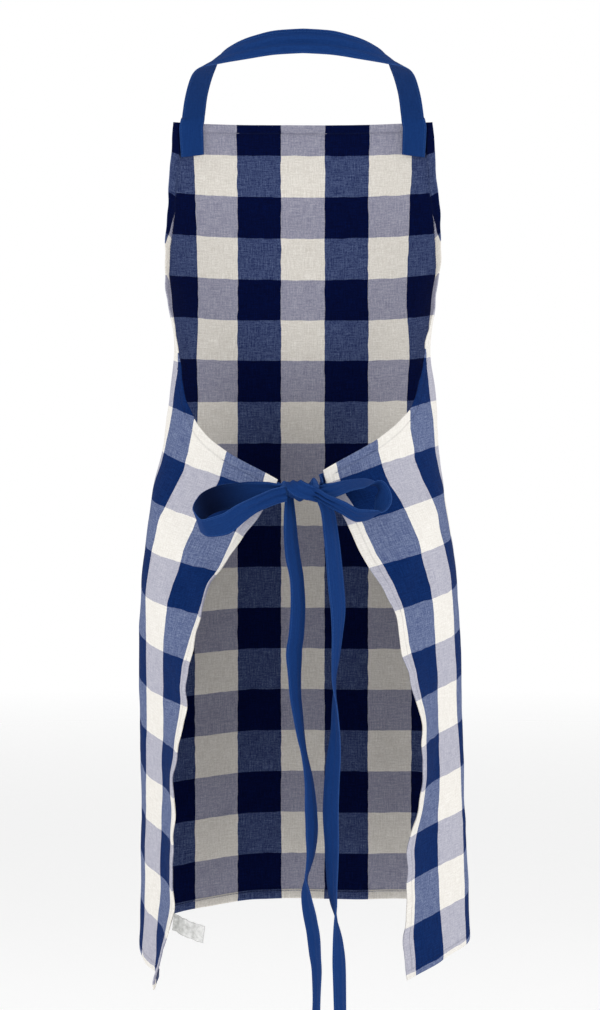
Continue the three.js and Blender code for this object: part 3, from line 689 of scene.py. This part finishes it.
def tape(name, centres, acrosses, widths, cup=0.0, gather=0.0, phase=0.0, depth=None):
    """Closed strip of tape, creased by cup, bunched by gather where it narrows, darker inside by depth as
    painted shade.
    """
    along = unit(np.gradient(centres, axis=0))
    across = unit(acrosses - along * (acrosses * along).sum(axis=1, keepdims=True))
    out = np.cross(across, along)
    q = section_q[None, :, None]
    wide = widths[:, None, None]
    share = np.clip(widths / TAPE_WIDTH, 0.3, 1)[:, None, None]
    creased = (1 - np.abs(q) ** 1.6) * cup * wide
    bunched = gather * (1 - share) * np.cos(q * math.pi * 2.5 + phase) * TAPE_WIDTH
    middle = centres[:, None] + across[:, None] * q * wide / 2 + out[:, None] * (creased + bunched)
    normal = unit(np.cross(np.gradient(middle, axis=1), along[:, None]))
    half = section_half[None, :, None] * TAPE_HALF
    ring = np.concatenate([middle + normal * half, (middle - normal * half)[:, ::-1]], axis=1)
    rows, size = ring.shape[:2]
    faces = strip_faces(rows, len(section_q))
    lengths = walked(centres)
    places = np.concatenate([section_q, section_q[::-1]]) * TAPE_WIDTH / 2
    uv = np.stack([places[faces % size], lengths[faces // size]], axis=-1) * MM
    # Painted shade by depth along the tape, on one face only
    deep = np.zeros(rows) if depth is None else depth
    inner = np.where(faces[:, :1] % size < len(section_q) - 1, deep[faces // size], 0)
    inner[(rows - 1) * size:] = 0
    painted_shades = np.stack([np.zeros_like(inner), inner], axis=-1)
    return mesh_object(name, ring.reshape(-1, 3), faces.tolist(), navy_tape, uv, painted_shades)


def table_rows(table, count):
    """A tape table read evenly from its first row to its last."""
    at = np.linspace(0, len(table) - 1, count)
    return np.stack([curve(np.arange(len(table)), table[:, i], at) for i in range(table.shape[1])], axis=-1)


def sewn(checks, row, turn_checks, turn_rows, inward):
    """Centre and across direction of a tape sewn flat to the inside of the cloth."""
    s = np.array([checks])
    r = np.array([row])
    across = cloth(s + turn_checks, r + turn_rows) - cloth(s - turn_checks, r - turn_rows)
    return (cloth(s, r) - smooth_normal(s, r, cloth, HANG_REACH) * inward)[0], across[0]


# Sewn end of the neck strap: checks out from the centre, depth inside the cloth, checks to each side, rows
STRAP_SEWN_CHECKS, STRAP_SEWN_INWARD, SEWN_TURN = 2.55, 2.6, 0.25
STRAP_SEWN_ROWS = (17.95, 18.2, 18.45, 18.68)
# Tape bunched at the back of the neck: share of its width, reach along it, height of the creases
NECK_BUNCH, NECK_BUNCH_REACH, NECK_CREASES = 0.06, 0.28, 1.1


def neck_strap():
    """Tape from inside one bib corner round the back of the neck to the other."""
    rows = table_rows(NECK_STRAP, 90)
    centres = rows[:, :3] * TAPE_WIDTH
    acrosses = rows[:, 3:]
    ends = [sewn(STRAP_SEWN_CHECKS, row, -SEWN_TURN, 0, STRAP_SEWN_INWARD) for row in STRAP_SEWN_ROWS]
    half_centres = np.concatenate([[end[0] for end in ends], centres])
    half_acrosses = np.concatenate([[end[1] for end in ends], acrosses])
    flip = np.array([-1, 1, 1])
    centres = np.concatenate([half_centres, half_centres[-2::-1] * flip]) + [0, TAPE_HALF, 0]
    acrosses = np.concatenate([half_acrosses, half_acrosses[-2::-1] * flip])
    spread = walked(centres)
    even = np.linspace(0, spread[-1], 240)
    centres = np.stack([np.interp(even, spread, centres[:, i]) for i in range(3)], axis=-1)
    acrosses = np.stack([np.interp(even, spread, acrosses[:, i]) for i in range(3)], axis=-1)
    for _ in range(2):
        centres[1:-1] = (centres[:-2] + 2 * centres[1:-1] + centres[2:]) / 4
    bunch = NECK_BUNCH * np.exp(-(np.linspace(-1, 1, len(centres)) / NECK_BUNCH_REACH) ** 2)
    piece = tape("neck_tape", centres, acrosses, TAPE_WIDTH * (1 - bunch),
                 cup=0.012, gather=NECK_CREASES, phase=0.7)
    return piece, spread[-1]


corner_left = cloth(np.array([HALF_CHECKS]), np.array([CORNER_ROW]))[0]
corner_right = cloth(np.array([-HALF_CHECKS]), np.array([CORNER_ROW]))[0]
knot_centre = (corner_left + corner_right) / 2 + np.array([0, KNOT_FORWARD, -KNOT_BELOW_CORNERS]) * TAPE_WIDTH


# How far the ends of a loop go on into the knot, as the columns of its table
FIRST_TUCK = np.array([0.34, 0, -0.02, 0, 0, 0, 0.02])
LAST_TUCK = np.array([0.34, 0.14, -0.08, 0, 0, 0, 0.02])


# Shade inside a loop: share of its length where it is deepest, reach of the shade
LOOP_SHADE = [0.38, 0.15]


def bow_loop(name, table, side, phase):
    """Loop of the bow, both ends tucked into the knot."""
    rows = table_rows(np.concatenate([[table[0] - FIRST_TUCK], table, [table[-1] - LAST_TUCK]]), 130)
    centres = knot_centre + rows[:, :3] * [side, 1, 1] * TAPE_WIDTH
    acrosses = rows[:, 3:6] * [side, 1, 1]
    # Painted shade along the inside of the left loop
    middle, reach = LOOP_SHADE
    depth = np.exp(-((np.linspace(0, 1, len(rows)) - middle) / reach) ** 2) if side > 0 else None
    piece = tape(name, centres, acrosses, rows[:, 6] * TAPE_WIDTH, gather=0.1, phase=phase, depth=depth)
    return piece, np.linalg.norm(np.diff(centres, axis=0), axis=1).sum()


def knot_wrap():
    """Turn of tape over the knot's core."""
    rows = table_rows(KNOT_WRAP, 90)
    centres = knot_centre + rows[:, :3] * TAPE_WIDTH
    return tape("bow_knot_wrap", centres, rows[:, 3:6], rows[:, 6] * TAPE_WIDTH,
                cup=WRAP_CUP, gather=WRAP_PLEATS, phase=0.9)


def hanging_tail(name, table, box):
    """Tail between the top and bottom of its solid."""
    rows = table_rows(table, 200)
    top = box[1][2] / MM
    middle = (box[0][1] + box[1][1]) / 2 / MM
    below = rows[:, 0] * TAIL_LENGTH - TAIL_TUCK * (1 - rows[:, 0])
    centres = np.stack([
        knot_centre[0] + rows[:, 1] * TAPE_WIDTH,
        np.full(len(rows), middle),
        top - below,
    ], axis=-1)
    turn = np.radians(rows[:, 2])
    acrosses = np.stack([np.cos(turn), np.sin(turn), np.zeros(len(rows))], axis=-1)
    spread = 1 - np.exp(-((below + TAIL_TUCK) / TAIL_BUNCH) ** 1.5)
    shares = TAIL_SHARE * (TAIL_BUNCHED + (1 - TAIL_BUNCHED) * spread)
    return tape(name, centres, acrosses, TAPE_WIDTH * shares, cup=TAIL_CUP, gather=0.06, phase=0.8)


# Waist tie: how far inside the back edge its sewn end runs, in checks, and how far below the corner, in rows
TIE_INSETS = (0.62, 0.3, -0.05)
TIE_BELOW_CORNER = 0.34
# Where the ties reach the knot, in tape widths: out on each side, back, up; last straight stretch in mm
TIE_OUT = {1: 0.79, -1: 0.71}
TIE_BACK, TIE_UP = -0.14, 0.06
TIE_STRAIGHT = 2.6
TIE_SHARES = np.array([0.9, 0.9, 0.9, 0.76, 0.5, 0.5])


def waist_tie(name, side, inward):
    """Tie from its sewn end inside the waist corner to the side of the knot."""
    row = CORNER_ROW - TIE_BELOW_CORNER
    ends = [sewn(side * (HALF_CHECKS - inset), row, 0, SEWN_TURN, inward) for inset in TIE_INSETS]
    target = knot_centre + np.array([side * TIE_OUT[side], TIE_BACK, TIE_UP]) * TAPE_WIDTH
    leaving = ends[-1][0]
    halfway = leaving + (target - leaving) * 0.5
    centres = np.array([end[0] for end in ends] + [halfway, target + [side * TIE_STRAIGHT, 0, 0], target])
    acrosses = np.array([unit(end[1]) for end in ends] + [[0, 0, 1]] * 3)
    widths = TIE_SHARES * TAPE_WIDTH
    at = np.linspace(0, len(centres) - 1, 40)
    places = np.arange(len(centres))
    centres = np.stack([curve(places, centres[:, i], at) for i in range(3)], axis=-1)
    acrosses = np.stack([curve(places, acrosses[:, i], at) for i in range(3)], axis=-1)
    piece = tape(name, centres, acrosses, curve(places, widths, at), gather=0.05)
    return piece, np.linalg.norm(np.diff(centres, axis=0), axis=1).sum()


# Knot body: rings along, points round
KNOT_RINGS = 150
KNOT_SIDES = 132
# Share of the solid's height that the knot's core has under its wrap
CORE_TALL = 0.66
# Lengthwise pleats of the core: angle in degrees from the front, depth in mm, half width in degrees
CORE_PLEATS = [
    [62, 0.9, 10], [28, 0.8, 8], [-8, 1.0, 9], [-44, 0.9, 10],
    [120, 0.8, 14], [170, 0.8, 14], [-110, 0.8, 14],
]
PLEAT_SLANT = 0.35
# Bumps: place along, angle in degrees from the front, height in mm, half width along, half width in degrees
KNOT_BUMPS = [
    [0.6, 88, 2.2, 0.2, 44],
    [-0.5, 80, 4.2, 0.17, 40],
    [0.0, -76, 2.6, 0.16, 30],
    [-0.34, -60, -1.2, 0.12, 26],
]
# Tape wound slantwise over the core: out, back, up, across x, across y, across z, share of the tape width
KNOT_WRAP = np.array([
    [0.26, -0.34, 0.04, 1, 0, 0, 0.6],
    [0.3, -0.2, 0.2, 1, 0, 0, 0.62],
    [0.3, 0.1, 0.27, 0.96, 0, -0.1, 0.64],
    [0.24, 0.4, 0.2, 0.85, 0.1, -0.45, 0.66],
    [0.04, 0.54, 0.06, 0.6, 0.05, -0.8, 0.64],
    [-0.24, 0.56, -0.05, 0.46, 0, -0.9, 0.6],
    [-0.5, 0.46, -0.13, 0.46, 0.1, -0.88, 0.54],
    [-0.7, 0.26, -0.22, 0.52, 0.2, -0.82, 0.48],
    [-0.8, 0.0, -0.28, 0.6, 0.3, -0.7, 0.42],
])
WRAP_CUP = 0.13
WRAP_PLEATS = 0.08


def ridge(off, half_width):
    """Narrow dip with a sharp bottom."""
    return np.exp(-np.abs(off / half_width) ** 1.3)


def angle_from(angle, at):
    """Degrees from a place round the knot, from -180 to 180."""
    return (np.degrees(angle) - at + 180) % 360 - 180


def knot():
    """Core of the knot, gathered lengthwise, which a turn of tape goes over."""
    along = np.linspace(KNOT[0, 0], KNOT[-1, 0], KNOT_RINGS)[:, None]
    angle = np.linspace(0, 2 * math.pi, KNOT_SIDES, endpoint=False)[None]
    deep, tall, rise = (curve(KNOT[:, 0], KNOT[:, i], along[:, 0])[:, None] * TAPE_WIDTH for i in (1, 2, 3))
    tall = tall * CORE_TALL
    lift = np.zeros_like(along + angle)
    for at, depth, wide in CORE_PLEATS:
        lift -= depth * ridge(angle_from(angle + PLEAT_SLANT * along, at), wide)
    for place, at, height, wide, spread in KNOT_BUMPS:
        lift += height * np.exp(-((along - place) / wide) ** 2 - (angle_from(angle, at) / spread) ** 2)
    ends = np.clip(np.minimum(along - KNOT[0, 0], KNOT[-1, 0] - along) / 0.08, 0, 1)
    lift = lift * ends
    x = along * TAPE_WIDTH + np.zeros(KNOT_SIDES)
    ring = np.stack([x, (deep + lift) * np.cos(angle), rise + (tall + lift) * np.sin(angle)], axis=-1)
    points = [*(knot_centre + ring.reshape(-1, 3))]
    faces, uvs = [], []
    place_uv = np.stack([x.ravel(), np.tile(angle[0] * 11.0, KNOT_RINGS)], axis=-1) * MM
    for j in range(KNOT_RINGS - 1):
        for k in range(KNOT_SIDES):
            after = (k + 1) % KNOT_SIDES
            low, high = j * KNOT_SIDES, (j + 1) * KNOT_SIDES
            face = [low + k, low + after, high + after, high + k]
            faces.append(face)
            uvs.append(place_uv[face])
    for row, step in ((0, -1), (KNOT_RINGS - 1, 1)):
        face = [row * KNOT_SIDES + k for k in range(KNOT_SIDES)][::step]
        faces.append(face)
        uvs.append(place_uv[face])
    uv = np.concatenate(uvs)
    return mesh_object("bow_knot_tape", points, faces, navy_tape, uv, np.zeros_like(uv))


def node_tree(name, roughness, sheen=0.0, specular=0.06):
    """New material with its nodes and its shader."""
    material = bpy.data.materials.new(name)
    material.use_nodes = True
    shader = material.node_tree.nodes["Principled BSDF"]
    shader.inputs["Roughness"].default_value = roughness
    shader.inputs["Sheen Weight"].default_value = sheen
    shader.inputs["Sheen Roughness"].default_value = 0.5
    shader.inputs["Specular IOR Level"].default_value = specular
    return material, material.node_tree, shader


class Graph:
    """Short calls for the nodes of one material."""

    def __init__(self, tree):
        self.tree = tree

    def node(self, kind, **settings):
        node = self.tree.nodes.new(kind)
        for key, value in settings.items():
            setattr(node, key, value)
        return node

    def put(self, socket, value):
        if isinstance(value, bpy.types.NodeSocket):
            self.tree.links.new(value, socket)
        else:
            socket.default_value = value

    def math(self, operation, *values, clamp=False):
        node = self.node("ShaderNodeMath", operation=operation, use_clamp=clamp)
        for socket, value in zip(node.inputs, values):
            self.put(socket, value)
        return node.outputs[0]

    def mix(self, share, first, second):
        node = self.node("ShaderNodeMix", data_type="RGBA")
        self.put(node.inputs["Factor"], share)
        for key, value in (("A", first), ("B", second)):
            socket = [i for i in node.inputs if i.name == key and i.type == "RGBA"][0]
            self.put(socket, value if isinstance(value, bpy.types.NodeSocket) else (*value, 1))
        return [o for o in node.outputs if o.type == "RGBA"][0]

    def uv(self, layer):
        node = self.node("ShaderNodeUVMap", uv_map=layer)
        parts = self.node("ShaderNodeSeparateXYZ")
        self.put(parts.inputs[0], node.outputs[0])
        return parts.outputs[0], parts.outputs[1]

    def place(self, x, y, z=0.0):
        node = self.node("ShaderNodeCombineXYZ")
        for socket, value in zip(node.inputs, (x, y, z)):
            self.put(socket, value)
        return node.outputs[0]

    def noise(self, vector, scale, detail=2.0, roughness=0.5):
        node = self.node("ShaderNodeTexNoise")
        self.put(node.inputs["Vector"], vector)
        node.inputs["Scale"].default_value = scale
        node.inputs["Detail"].default_value = detail
        node.inputs["Roughness"].default_value = roughness
        return node.outputs["Fac"]

    def bump(self, height, strength, distance, normal=None):
        node = self.node("ShaderNodeBump")
        self.put(node.inputs["Height"], height)
        node.inputs["Strength"].default_value = strength
        node.inputs["Distance"].default_value = distance
        if normal is not None:
            self.put(node.inputs["Normal"], normal)
        return node.outputs[0]


# Dark and light threads of each field of the check, linear colour
WHITE_DARK, WHITE_LIGHT = (0.74, 0.71, 0.66), (0.93, 0.91, 0.87)
LAVENDER_DARK, LAVENDER_LIGHT = (0.27, 0.275, 0.365), (0.53, 0.525, 0.59)
CHAMBRAY_DARK, CHAMBRAY_LIGHT = (0.06, 0.085, 0.20), (0.24, 0.29, 0.43)
NAVY_DARK, NAVY_LIGHT = (0.0015, 0.013, 0.075), (0.005, 0.031, 0.145)
THREAD_PITCH = 0.62
# Painted shade on the inner face: how much its tones are darkened
INNER_PAINTED_SHADE = 0.5
# Colour of the painted shade along the stitched groove of the hems
SEAM_PAINTED_SHADE = (0.02, 0.03, 0.08)


def check_material():
    """Yarn-dyed check: white, lavender, chambray and navy fields of woven threads."""
    material, tree, shader = node_tree("check_cotton_woven", 0.95, 0.01)
    g = Graph(tree)
    u, v = g.uv("cloth")
    wobble = g.noise(g.place(u, v), 3.0, 1.0)
    shift = g.math("MULTIPLY", g.math("SUBTRACT", wobble, 0.5), 0.05)
    u2 = g.math("ADD", u, shift)
    v2 = g.math("ADD", v, shift)
    half_column = g.math("MULTIPLY", g.math("ADD", u2, 0.5), 0.5)
    blue_column = g.math("GREATER_THAN", g.math("FRACT", half_column), 0.5)
    blue_row = g.math("LESS_THAN", g.math("FRACT", g.math("MULTIPLY", v2, 0.5)), 0.5)
    a = g.math("MULTIPLY", u, CHECK_W)
    b = g.math("MULTIPLY", v, CHECK_H)
    turn = 2 * math.pi / THREAD_PITCH
    warp = g.math("SINE", g.math("MULTIPLY", a, turn))
    weft = g.math("SINE", g.math("MULTIPLY", b, turn))
    over = g.math("MULTIPLY_ADD", g.math("MULTIPLY", warp, weft), 0.9, 0.5, clamp=True)
    warp_slub = g.noise(g.place(g.math("MULTIPLY", a, 1.5), g.math("MULTIPLY", b, 0.07)), 1.0, 2.0, 0.6)
    weft_slub = g.noise(g.place(g.math("MULTIPLY", a, 0.07), g.math("MULTIPLY", b, 1.5)), 1.0, 2.0, 0.6)
    fleck = g.noise(g.place(a, b), 0.55, 4.0, 0.65)
    slub = g.math("ADD", g.math("ADD", warp_slub, weft_slub), fleck)
    heather = g.math("MULTIPLY_ADD", g.math("SUBTRACT", slub, 1.5), 1.5, 0.33)
    light = g.math("ADD", g.math("MULTIPLY", g.math("SUBTRACT", over, 0.5), 0.35), heather, clamp=True)
    white = g.mix(light, WHITE_DARK, WHITE_LIGHT)
    lavender = g.mix(g.math("ADD", light, 0.3, clamp=True), LAVENDER_DARK, LAVENDER_LIGHT)
    chambray = g.mix(light, CHAMBRAY_DARK, CHAMBRAY_LIGHT)
    navy = g.mix(light, NAVY_DARK, NAVY_LIGHT)
    pale_column = g.mix(blue_row, white, lavender)
    dark_column = g.mix(blue_row, chambray, navy)
    colour = g.mix(blue_column, pale_column, dark_column)
    distance, inner_face = g.uv("edge")
    # Painted shade: the inner face's colours are darkened by a gamma
    painted_inner_gamma = g.node("ShaderNodeGamma")
    g.put(painted_inner_gamma.inputs["Color"], colour)
    g.put(painted_inner_gamma.inputs["Gamma"], g.math("MULTIPLY_ADD", inner_face, INNER_PAINTED_SHADE, 1.0))
    colour = painted_inner_gamma.outputs[0]
    # Painted shade in the hem's stitched groove: a narrow darkening at the stitch line
    off = g.math("DIVIDE", g.math("SUBTRACT", distance, STITCH_FROM_EDGE * MM), 0.0007)
    painted_seam_mask = g.math("EXPONENT", g.math("MULTIPLY", g.math("MULTIPLY", off, off), -1.0))
    colour = g.mix(g.math("MULTIPLY", painted_seam_mask, 0.16), colour, SEAM_PAINTED_SHADE)
    g.put(shader.inputs["Base Color"], colour)
    thread_height = g.math("ADD", g.math("MULTIPLY", g.math("ABSOLUTE", warp), 0.5), over)
    woven = g.bump(thread_height, 0.35, 0.00012)
    crumple = g.noise(g.place(a, b), 0.16, 4.0, 0.6)
    g.put(shader.inputs["Normal"], g.bump(crumple, 0.35, 0.0016, woven))
    return material


# Tape: its colours, that of its sewn lines, of its worn edges and of the shade inside a loop
NAVY_TAPE_DARK, NAVY_TAPE_LIGHT = (0.0035, 0.024, 0.115), (0.0095, 0.047, 0.195)
SEWN_COLOUR, WORN_COLOUR, SHADE_COLOUR = (0.035, 0.1, 0.3), (0.05, 0.12, 0.33), (0.0005, 0.003, 0.02)
# Sewn lines: distance from the middle, half width, part of a pitch that is thread; start of the worn edge
SEWN_AT, SEWN_HALF, SEWN_SHARE, WORN_FROM = 10.55, 0.22, 0.8, 12.0
TWILL_PITCH, YARN_PITCH = 0.95, 0.6
# Share of the tape's colour lost to painted shade where the inside of a loop is deepest
LOOP_PAINTED_SHADE_SHARE = 0.94


def tape_material():
    """Navy twill tape with a sewn line near each edge."""
    material, tree, shader = node_tree("navy_tape_twill", 0.85, 0.02)
    g = Graph(tree)
    u, v = g.uv("cloth")
    a = g.math("MULTIPLY", u, 1000.0)
    b = g.math("MULTIPLY", v, 1000.0)
    twill = g.math("SINE", g.math("MULTIPLY", g.math("ADD", a, b), 2 * math.pi / TWILL_PITCH))
    yarn = g.math("SINE", g.math("MULTIPLY", g.math("SUBTRACT", a, b), 2 * math.pi / YARN_PITCH))
    fleck = g.noise(g.place(a, b), 0.45, 4.0, 0.6)
    streak = g.noise(g.place(g.math("MULTIPLY", a, 0.9), g.math("MULTIPLY", b, 0.06)), 1.0, 2.0)
    uneven = g.math("MULTIPLY", g.math("ADD", fleck, streak), 0.8)
    tone = g.math("ADD", g.math("MULTIPLY", twill, 0.13), uneven)
    light = g.math("SUBTRACT", tone, 0.3, clamp=True)
    colour = g.mix(light, NAVY_TAPE_DARK, NAVY_TAPE_LIGHT)
    side = g.math("ABSOLUTE", a)
    on_line = g.math("LESS_THAN", g.math("ABSOLUTE", g.math("SUBTRACT", side, SEWN_AT)), SEWN_HALF)
    on_stitch = g.math("LESS_THAN", g.math("FRACT", g.math("DIVIDE", b, STITCH_PITCH)), SEWN_SHARE)
    sewn_line = g.math("MULTIPLY", on_line, on_stitch)
    colour = g.mix(g.math("MULTIPLY", sewn_line, 0.55), colour, SEWN_COLOUR)
    wear = g.math("MULTIPLY", g.math("GREATER_THAN", side, WORN_FROM), g.math("MULTIPLY", fleck, 0.5))
    colour = g.mix(wear, colour, WORN_COLOUR)
    # Painted shade inside the bow's loops
    inside = g.uv("edge")[1]
    colour = g.mix(g.math("MULTIPLY", inside, LOOP_PAINTED_SHADE_SHARE), colour, SHADE_COLOUR)
    g.put(shader.inputs["Base Color"], colour)
    raised = g.math("MULTIPLY", g.math("ADD", twill, yarn), 0.3)
    woven = g.bump(g.math("ADD", raised, g.math("MULTIPLY", sewn_line, 1.2)), 0.4, 0.00015)
    crumple = g.noise(g.place(a, b), 0.2, 3.0, 0.6)
    g.put(shader.inputs["Normal"], g.bump(crumple, 0.4, 0.0012, woven))
    return material


# Care label: two layers folded at the free end
LABEL_LENGTH = 32.0
LABEL_WIDTH = 16.0
LABEL_THICK = 0.3
LABEL_ROW = 1.54
LABEL_ALONG = np.array([-0.92, 0.1, -0.37])
LABEL_DOWN = np.array([0.12, 0, -0.98])
LABEL_DARK, LABEL_LIGHT = (0.33, 0.335, 0.32), (0.76, 0.76, 0.75)
# Its sewn corner from the cloth's edge, points along a layer and across
LABEL_START = [-1.05, 1.0, 0]
LABEL_STEPS, LABEL_SPANS = 41, 17
# Half the gap between the layers, share by which it narrows outward, how near the fold it closes
LABEL_GAP, LABEL_NARROWS, LABEL_CLOSES = 0.55, 0.15, 0.7
# Bulge backward and sag of its middle; a finer wave of the sag: height, turn for each millimetre, start
LABEL_BULGE, LABEL_SAG = 1.4, 0.9
SAG_WAVE, SAG_TURN, SAG_START = 0.25, 0.8, 1.0
# Ripples: height, turn for each millimetre along, turn across, share at one edge, share added across
LABEL_RIPPLES = [[1.1, 0.41, 3, 0.3, 1], [0.6, 0.1, 5, 1, 0], [0.35, 0.9, -4, 1, 0]]


def label_material():
    """Blank satin ribbon, crumpled, with painted shade and light that follow its crumples, lighter towards its
    fold.
    """
    material, tree, shader = node_tree("label_satin", 0.45, 0.05, 0.3)
    g = Graph(tree)
    u, v = g.uv("cloth")
    a = g.math("MULTIPLY", u, 1000.0)
    b = g.math("MULTIPLY", v, 1000.0)
    ribs = g.math("SINE", g.math("MULTIPLY", b, 2 * math.pi / 0.35))
    threads = g.noise(g.place(g.math("MULTIPLY", a, 0.3), g.math("MULTIPLY", b, 3.0)), 1.0, 2.0)
    broad = g.noise(g.place(a, b), 0.12, 3.0)
    crumple = g.noise(g.place(a, b, 5.0), 0.26, 3.0, 0.6)
    from_fold = g.math("ABSOLUTE", g.math("SUBTRACT", a, LABEL_LENGTH))
    # Painted shade and light from the crumples' own heights, with a fade towards the fold
    crumple_shade_and_fold_fade = g.math("SUBTRACT", g.math("MULTIPLY", crumple, 1.7), g.math("MULTIPLY", from_fold, 0.02))
    even = g.math("MULTIPLY", g.math("ADD", threads, broad), 0.5)
    light = g.math("ADD", g.math("SUBTRACT", even, 0.42), crumple_shade_and_fold_fade, clamp=True)
    g.put(shader.inputs["Base Color"], g.mix(light, LABEL_DARK, LABEL_LIGHT))
    woven = g.bump(ribs, 0.25, 0.00008)
    g.put(shader.inputs["Normal"], g.bump(crumple, 0.6, 0.003, woven))
    return material


check_cotton = check_material()
navy_tape = tape_material()
label_satin = label_material()


def care_label():
    """Blank folded ribbon: one strip that goes out, turns over and comes back."""
    start = cloth(np.array([HALF_CHECKS]), np.array([LABEL_ROW]))[0] + LABEL_START
    along = unit(LABEL_ALONG)
    down = unit(LABEL_DOWN)
    out = unit(np.cross(down, along))
    share = np.linspace(0, 1, LABEL_STEPS)
    closing = np.sqrt(np.clip((1 - share) * LABEL_LENGTH / LABEL_CLOSES, 0, 1))
    gap = LABEL_GAP * (1 - LABEL_NARROWS * share) * closing
    apart = np.concatenate([gap, -gap[-2::-1]])[:, None]
    s = np.concatenate([share, share[-2::-1]])[:, None] * LABEL_LENGTH
    span = np.linspace(0, 1, LABEL_SPANS)
    q = span[None]
    arch = np.sin(s / LABEL_LENGTH * math.pi)
    bulge = LABEL_BULGE * arch
    for height, turn_along, turn_across, least, added in LABEL_RIPPLES:
        bulge = bulge + height * np.sin(s * turn_along + q * turn_across) * (least + added * q)
    sag = LABEL_SAG * arch + SAG_WAVE * np.sin(s * SAG_TURN + SAG_START)
    middle = (start + along * s[..., None] + down * (q * LABEL_WIDTH + sag)[..., None]
              + np.array([0, 1, 0]) * bulge[..., None] + out * apart[..., None])
    normal = unit(np.cross(np.gradient(middle, axis=0), np.gradient(middle, axis=1)))
    half = normal * LABEL_THICK / 2
    ring = np.concatenate([middle + half, (middle - half)[:, ::-1]], axis=1)
    rows, size = ring.shape[:2]
    faces = strip_faces(rows, LABEL_SPANS, turned=True)
    places = np.concatenate([span, span[::-1]]) * LABEL_WIDTH
    uv = np.stack([walked(middle[:, 0])[faces // size], places[faces % size]], axis=-1) * MM
    return mesh_object("care_label_ribbon", ring.reshape(-1, 3), faces.tolist(),
                       label_satin, uv)


# Pieces
cloth_piece = panel()
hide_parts("apron_panel")
hem_thread = hem_stitches()

strap_piece, strap_length = neck_strap()
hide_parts("neck_strap")

knot_piece = knot()
wrap_piece = knot_wrap()
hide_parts("bow_knot")
# Ties: side, depth of their sewn ends inside the cloth in millimetres, pieces listed with them
ties = (
    ("waist_tie_left", 1, 2.63, [knot_piece, wrap_piece]),
    ("waist_tie_right", -1, 3.05, []),
)
for name, side, inward, pieces_with in ties:
    tie, length = waist_tie(name + "_tape", side, inward)
    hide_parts(name)
loops = (("bow_loop_left", LOOP_LEFT, 1, 0.4), ("bow_loop_right", LOOP_RIGHT, -1, 1.6))
for name, table, side, phase in loops:
    loop, length = bow_loop(name + "_tape", table, side, phase)
    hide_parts(name)
for name, table in (("tie_tail_left", TAIL_LEFT), ("tie_tail_right", TAIL_RIGHT)):
    tail = hanging_tail(name + "_tape", table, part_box(name))
    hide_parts(name)
label_piece = care_label()
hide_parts("care_label")

# Floor that fades into the pale surroundings
FLOOR_HEIGHT = -1.14
FLOOR_RADIUS = 7.0
FLOOR_GLOW = 0.2
# Where the floor starts to fade, and how far inside its rim it has faded
FADE_FROM, FADE_MARGIN = 1.6, 1.0


def floor():
    """Pale disc below the apron."""
    bpy.ops.mesh.primitive_circle_add(vertices=128, radius=FLOOR_RADIUS, fill_type="NGON",
                                      location=(0, 0, FLOOR_HEIGHT))
    disc = bpy.context.object
    disc.name = "floor"
    material, tree, shader = node_tree("floor_pale", 0.95)
    shader.inputs["Base Color"].default_value = (0.93, 0.93, 0.93, 1)
    shader.inputs["Emission Color"].default_value = (1, 1, 1, 1)
    shader.inputs["Emission Strength"].default_value = FLOOR_GLOW
    g = Graph(tree)
    clear = g.node("ShaderNodeBsdfTransparent")
    length = g.node("ShaderNodeVectorMath", operation="LENGTH")
    g.put(length.inputs[0], g.node("ShaderNodeTexCoord").outputs["Object"])
    past = g.math("SUBTRACT", length.outputs["Value"], FADE_FROM)
    fade = g.math("DIVIDE", past, FLOOR_RADIUS - FADE_FROM - FADE_MARGIN, clamp=True)
    blend = g.node("ShaderNodeMixShader")
    g.put(blend.inputs[0], fade)
    g.put(blend.inputs[1], shader.outputs[0])
    g.put(blend.inputs[2], clear.outputs[0])
    g.put(tree.nodes["Material Output"].inputs["Surface"], blend.outputs[0])
    disc.data.materials.append(material)


floor()

bpy.context.scene.view_settings.view_transform = "Standard"

# Light: how bright the white surroundings light the apron, against how bright they look
SURROUND_LIGHT = 0.64
world = bpy.data.worlds.new("studio")
bpy.context.scene.world = world
world.use_nodes = True
world.node_tree.nodes["Background"].inputs["Color"].default_value = (1, 1, 1, 1)
world.node_tree.nodes["Background"].inputs["Strength"].default_value = 1.0
studio = Graph(world.node_tree)
seen = studio.node("ShaderNodeLightPath").outputs["Is Camera Ray"]
studio.put(world.node_tree.nodes["Background"].inputs["Strength"],
           studio.math("MULTIPLY_ADD", seen, 1 - SURROUND_LIGHT, SURROUND_LIGHT))


# Soft lights: what they are aimed at, width of one
LIGHT_TARGET = (0, 0, -0.45)
LIGHT_SIZE = 1.8


def soft_light(name, place, power):
    """Round soft light aimed at the apron."""
    data = bpy.data.lights.new(name, "AREA")
    data.shape = "DISK"
    data.size = LIGHT_SIZE
    data.energy = power
    lamp = bpy.data.objects.new(name, data)
    bpy.context.scene.collection.objects.link(lamp)
    lamp.location = place
    way = np.array(LIGHT_TARGET) - np.array(place)
    tilt = math.atan2(math.hypot(way[0], way[1]), -way[2])
    lamp.rotation_euler = (tilt, 0, math.atan2(way[0], -way[1]) + math.pi)


soft_light("key", (2.2, 1.5, 0.5), 31)
soft_light("side", (-2.4, 1.4, 0.4), 33)

# Camera of the photograph: level, straight along -Y
CAMERA_PLACE = (0.003, 2.03, -0.443)
FOCAL_PIXELS = 2127
PHOTO_TALL = 1010
SENSOR = 36
camera_data = bpy.data.cameras.new("photo_camera")
camera_data.lens = FOCAL_PIXELS / PHOTO_TALL * SENSOR
camera_data.sensor_width = SENSOR
camera = bpy.data.objects.new("photo_camera", camera_data)
bpy.context.scene.collection.objects.link(camera)
camera.location = CAMERA_PLACE
camera.rotation_euler = (math.pi / 2, 0, math.pi)
bpy.context.scene.camera = camera
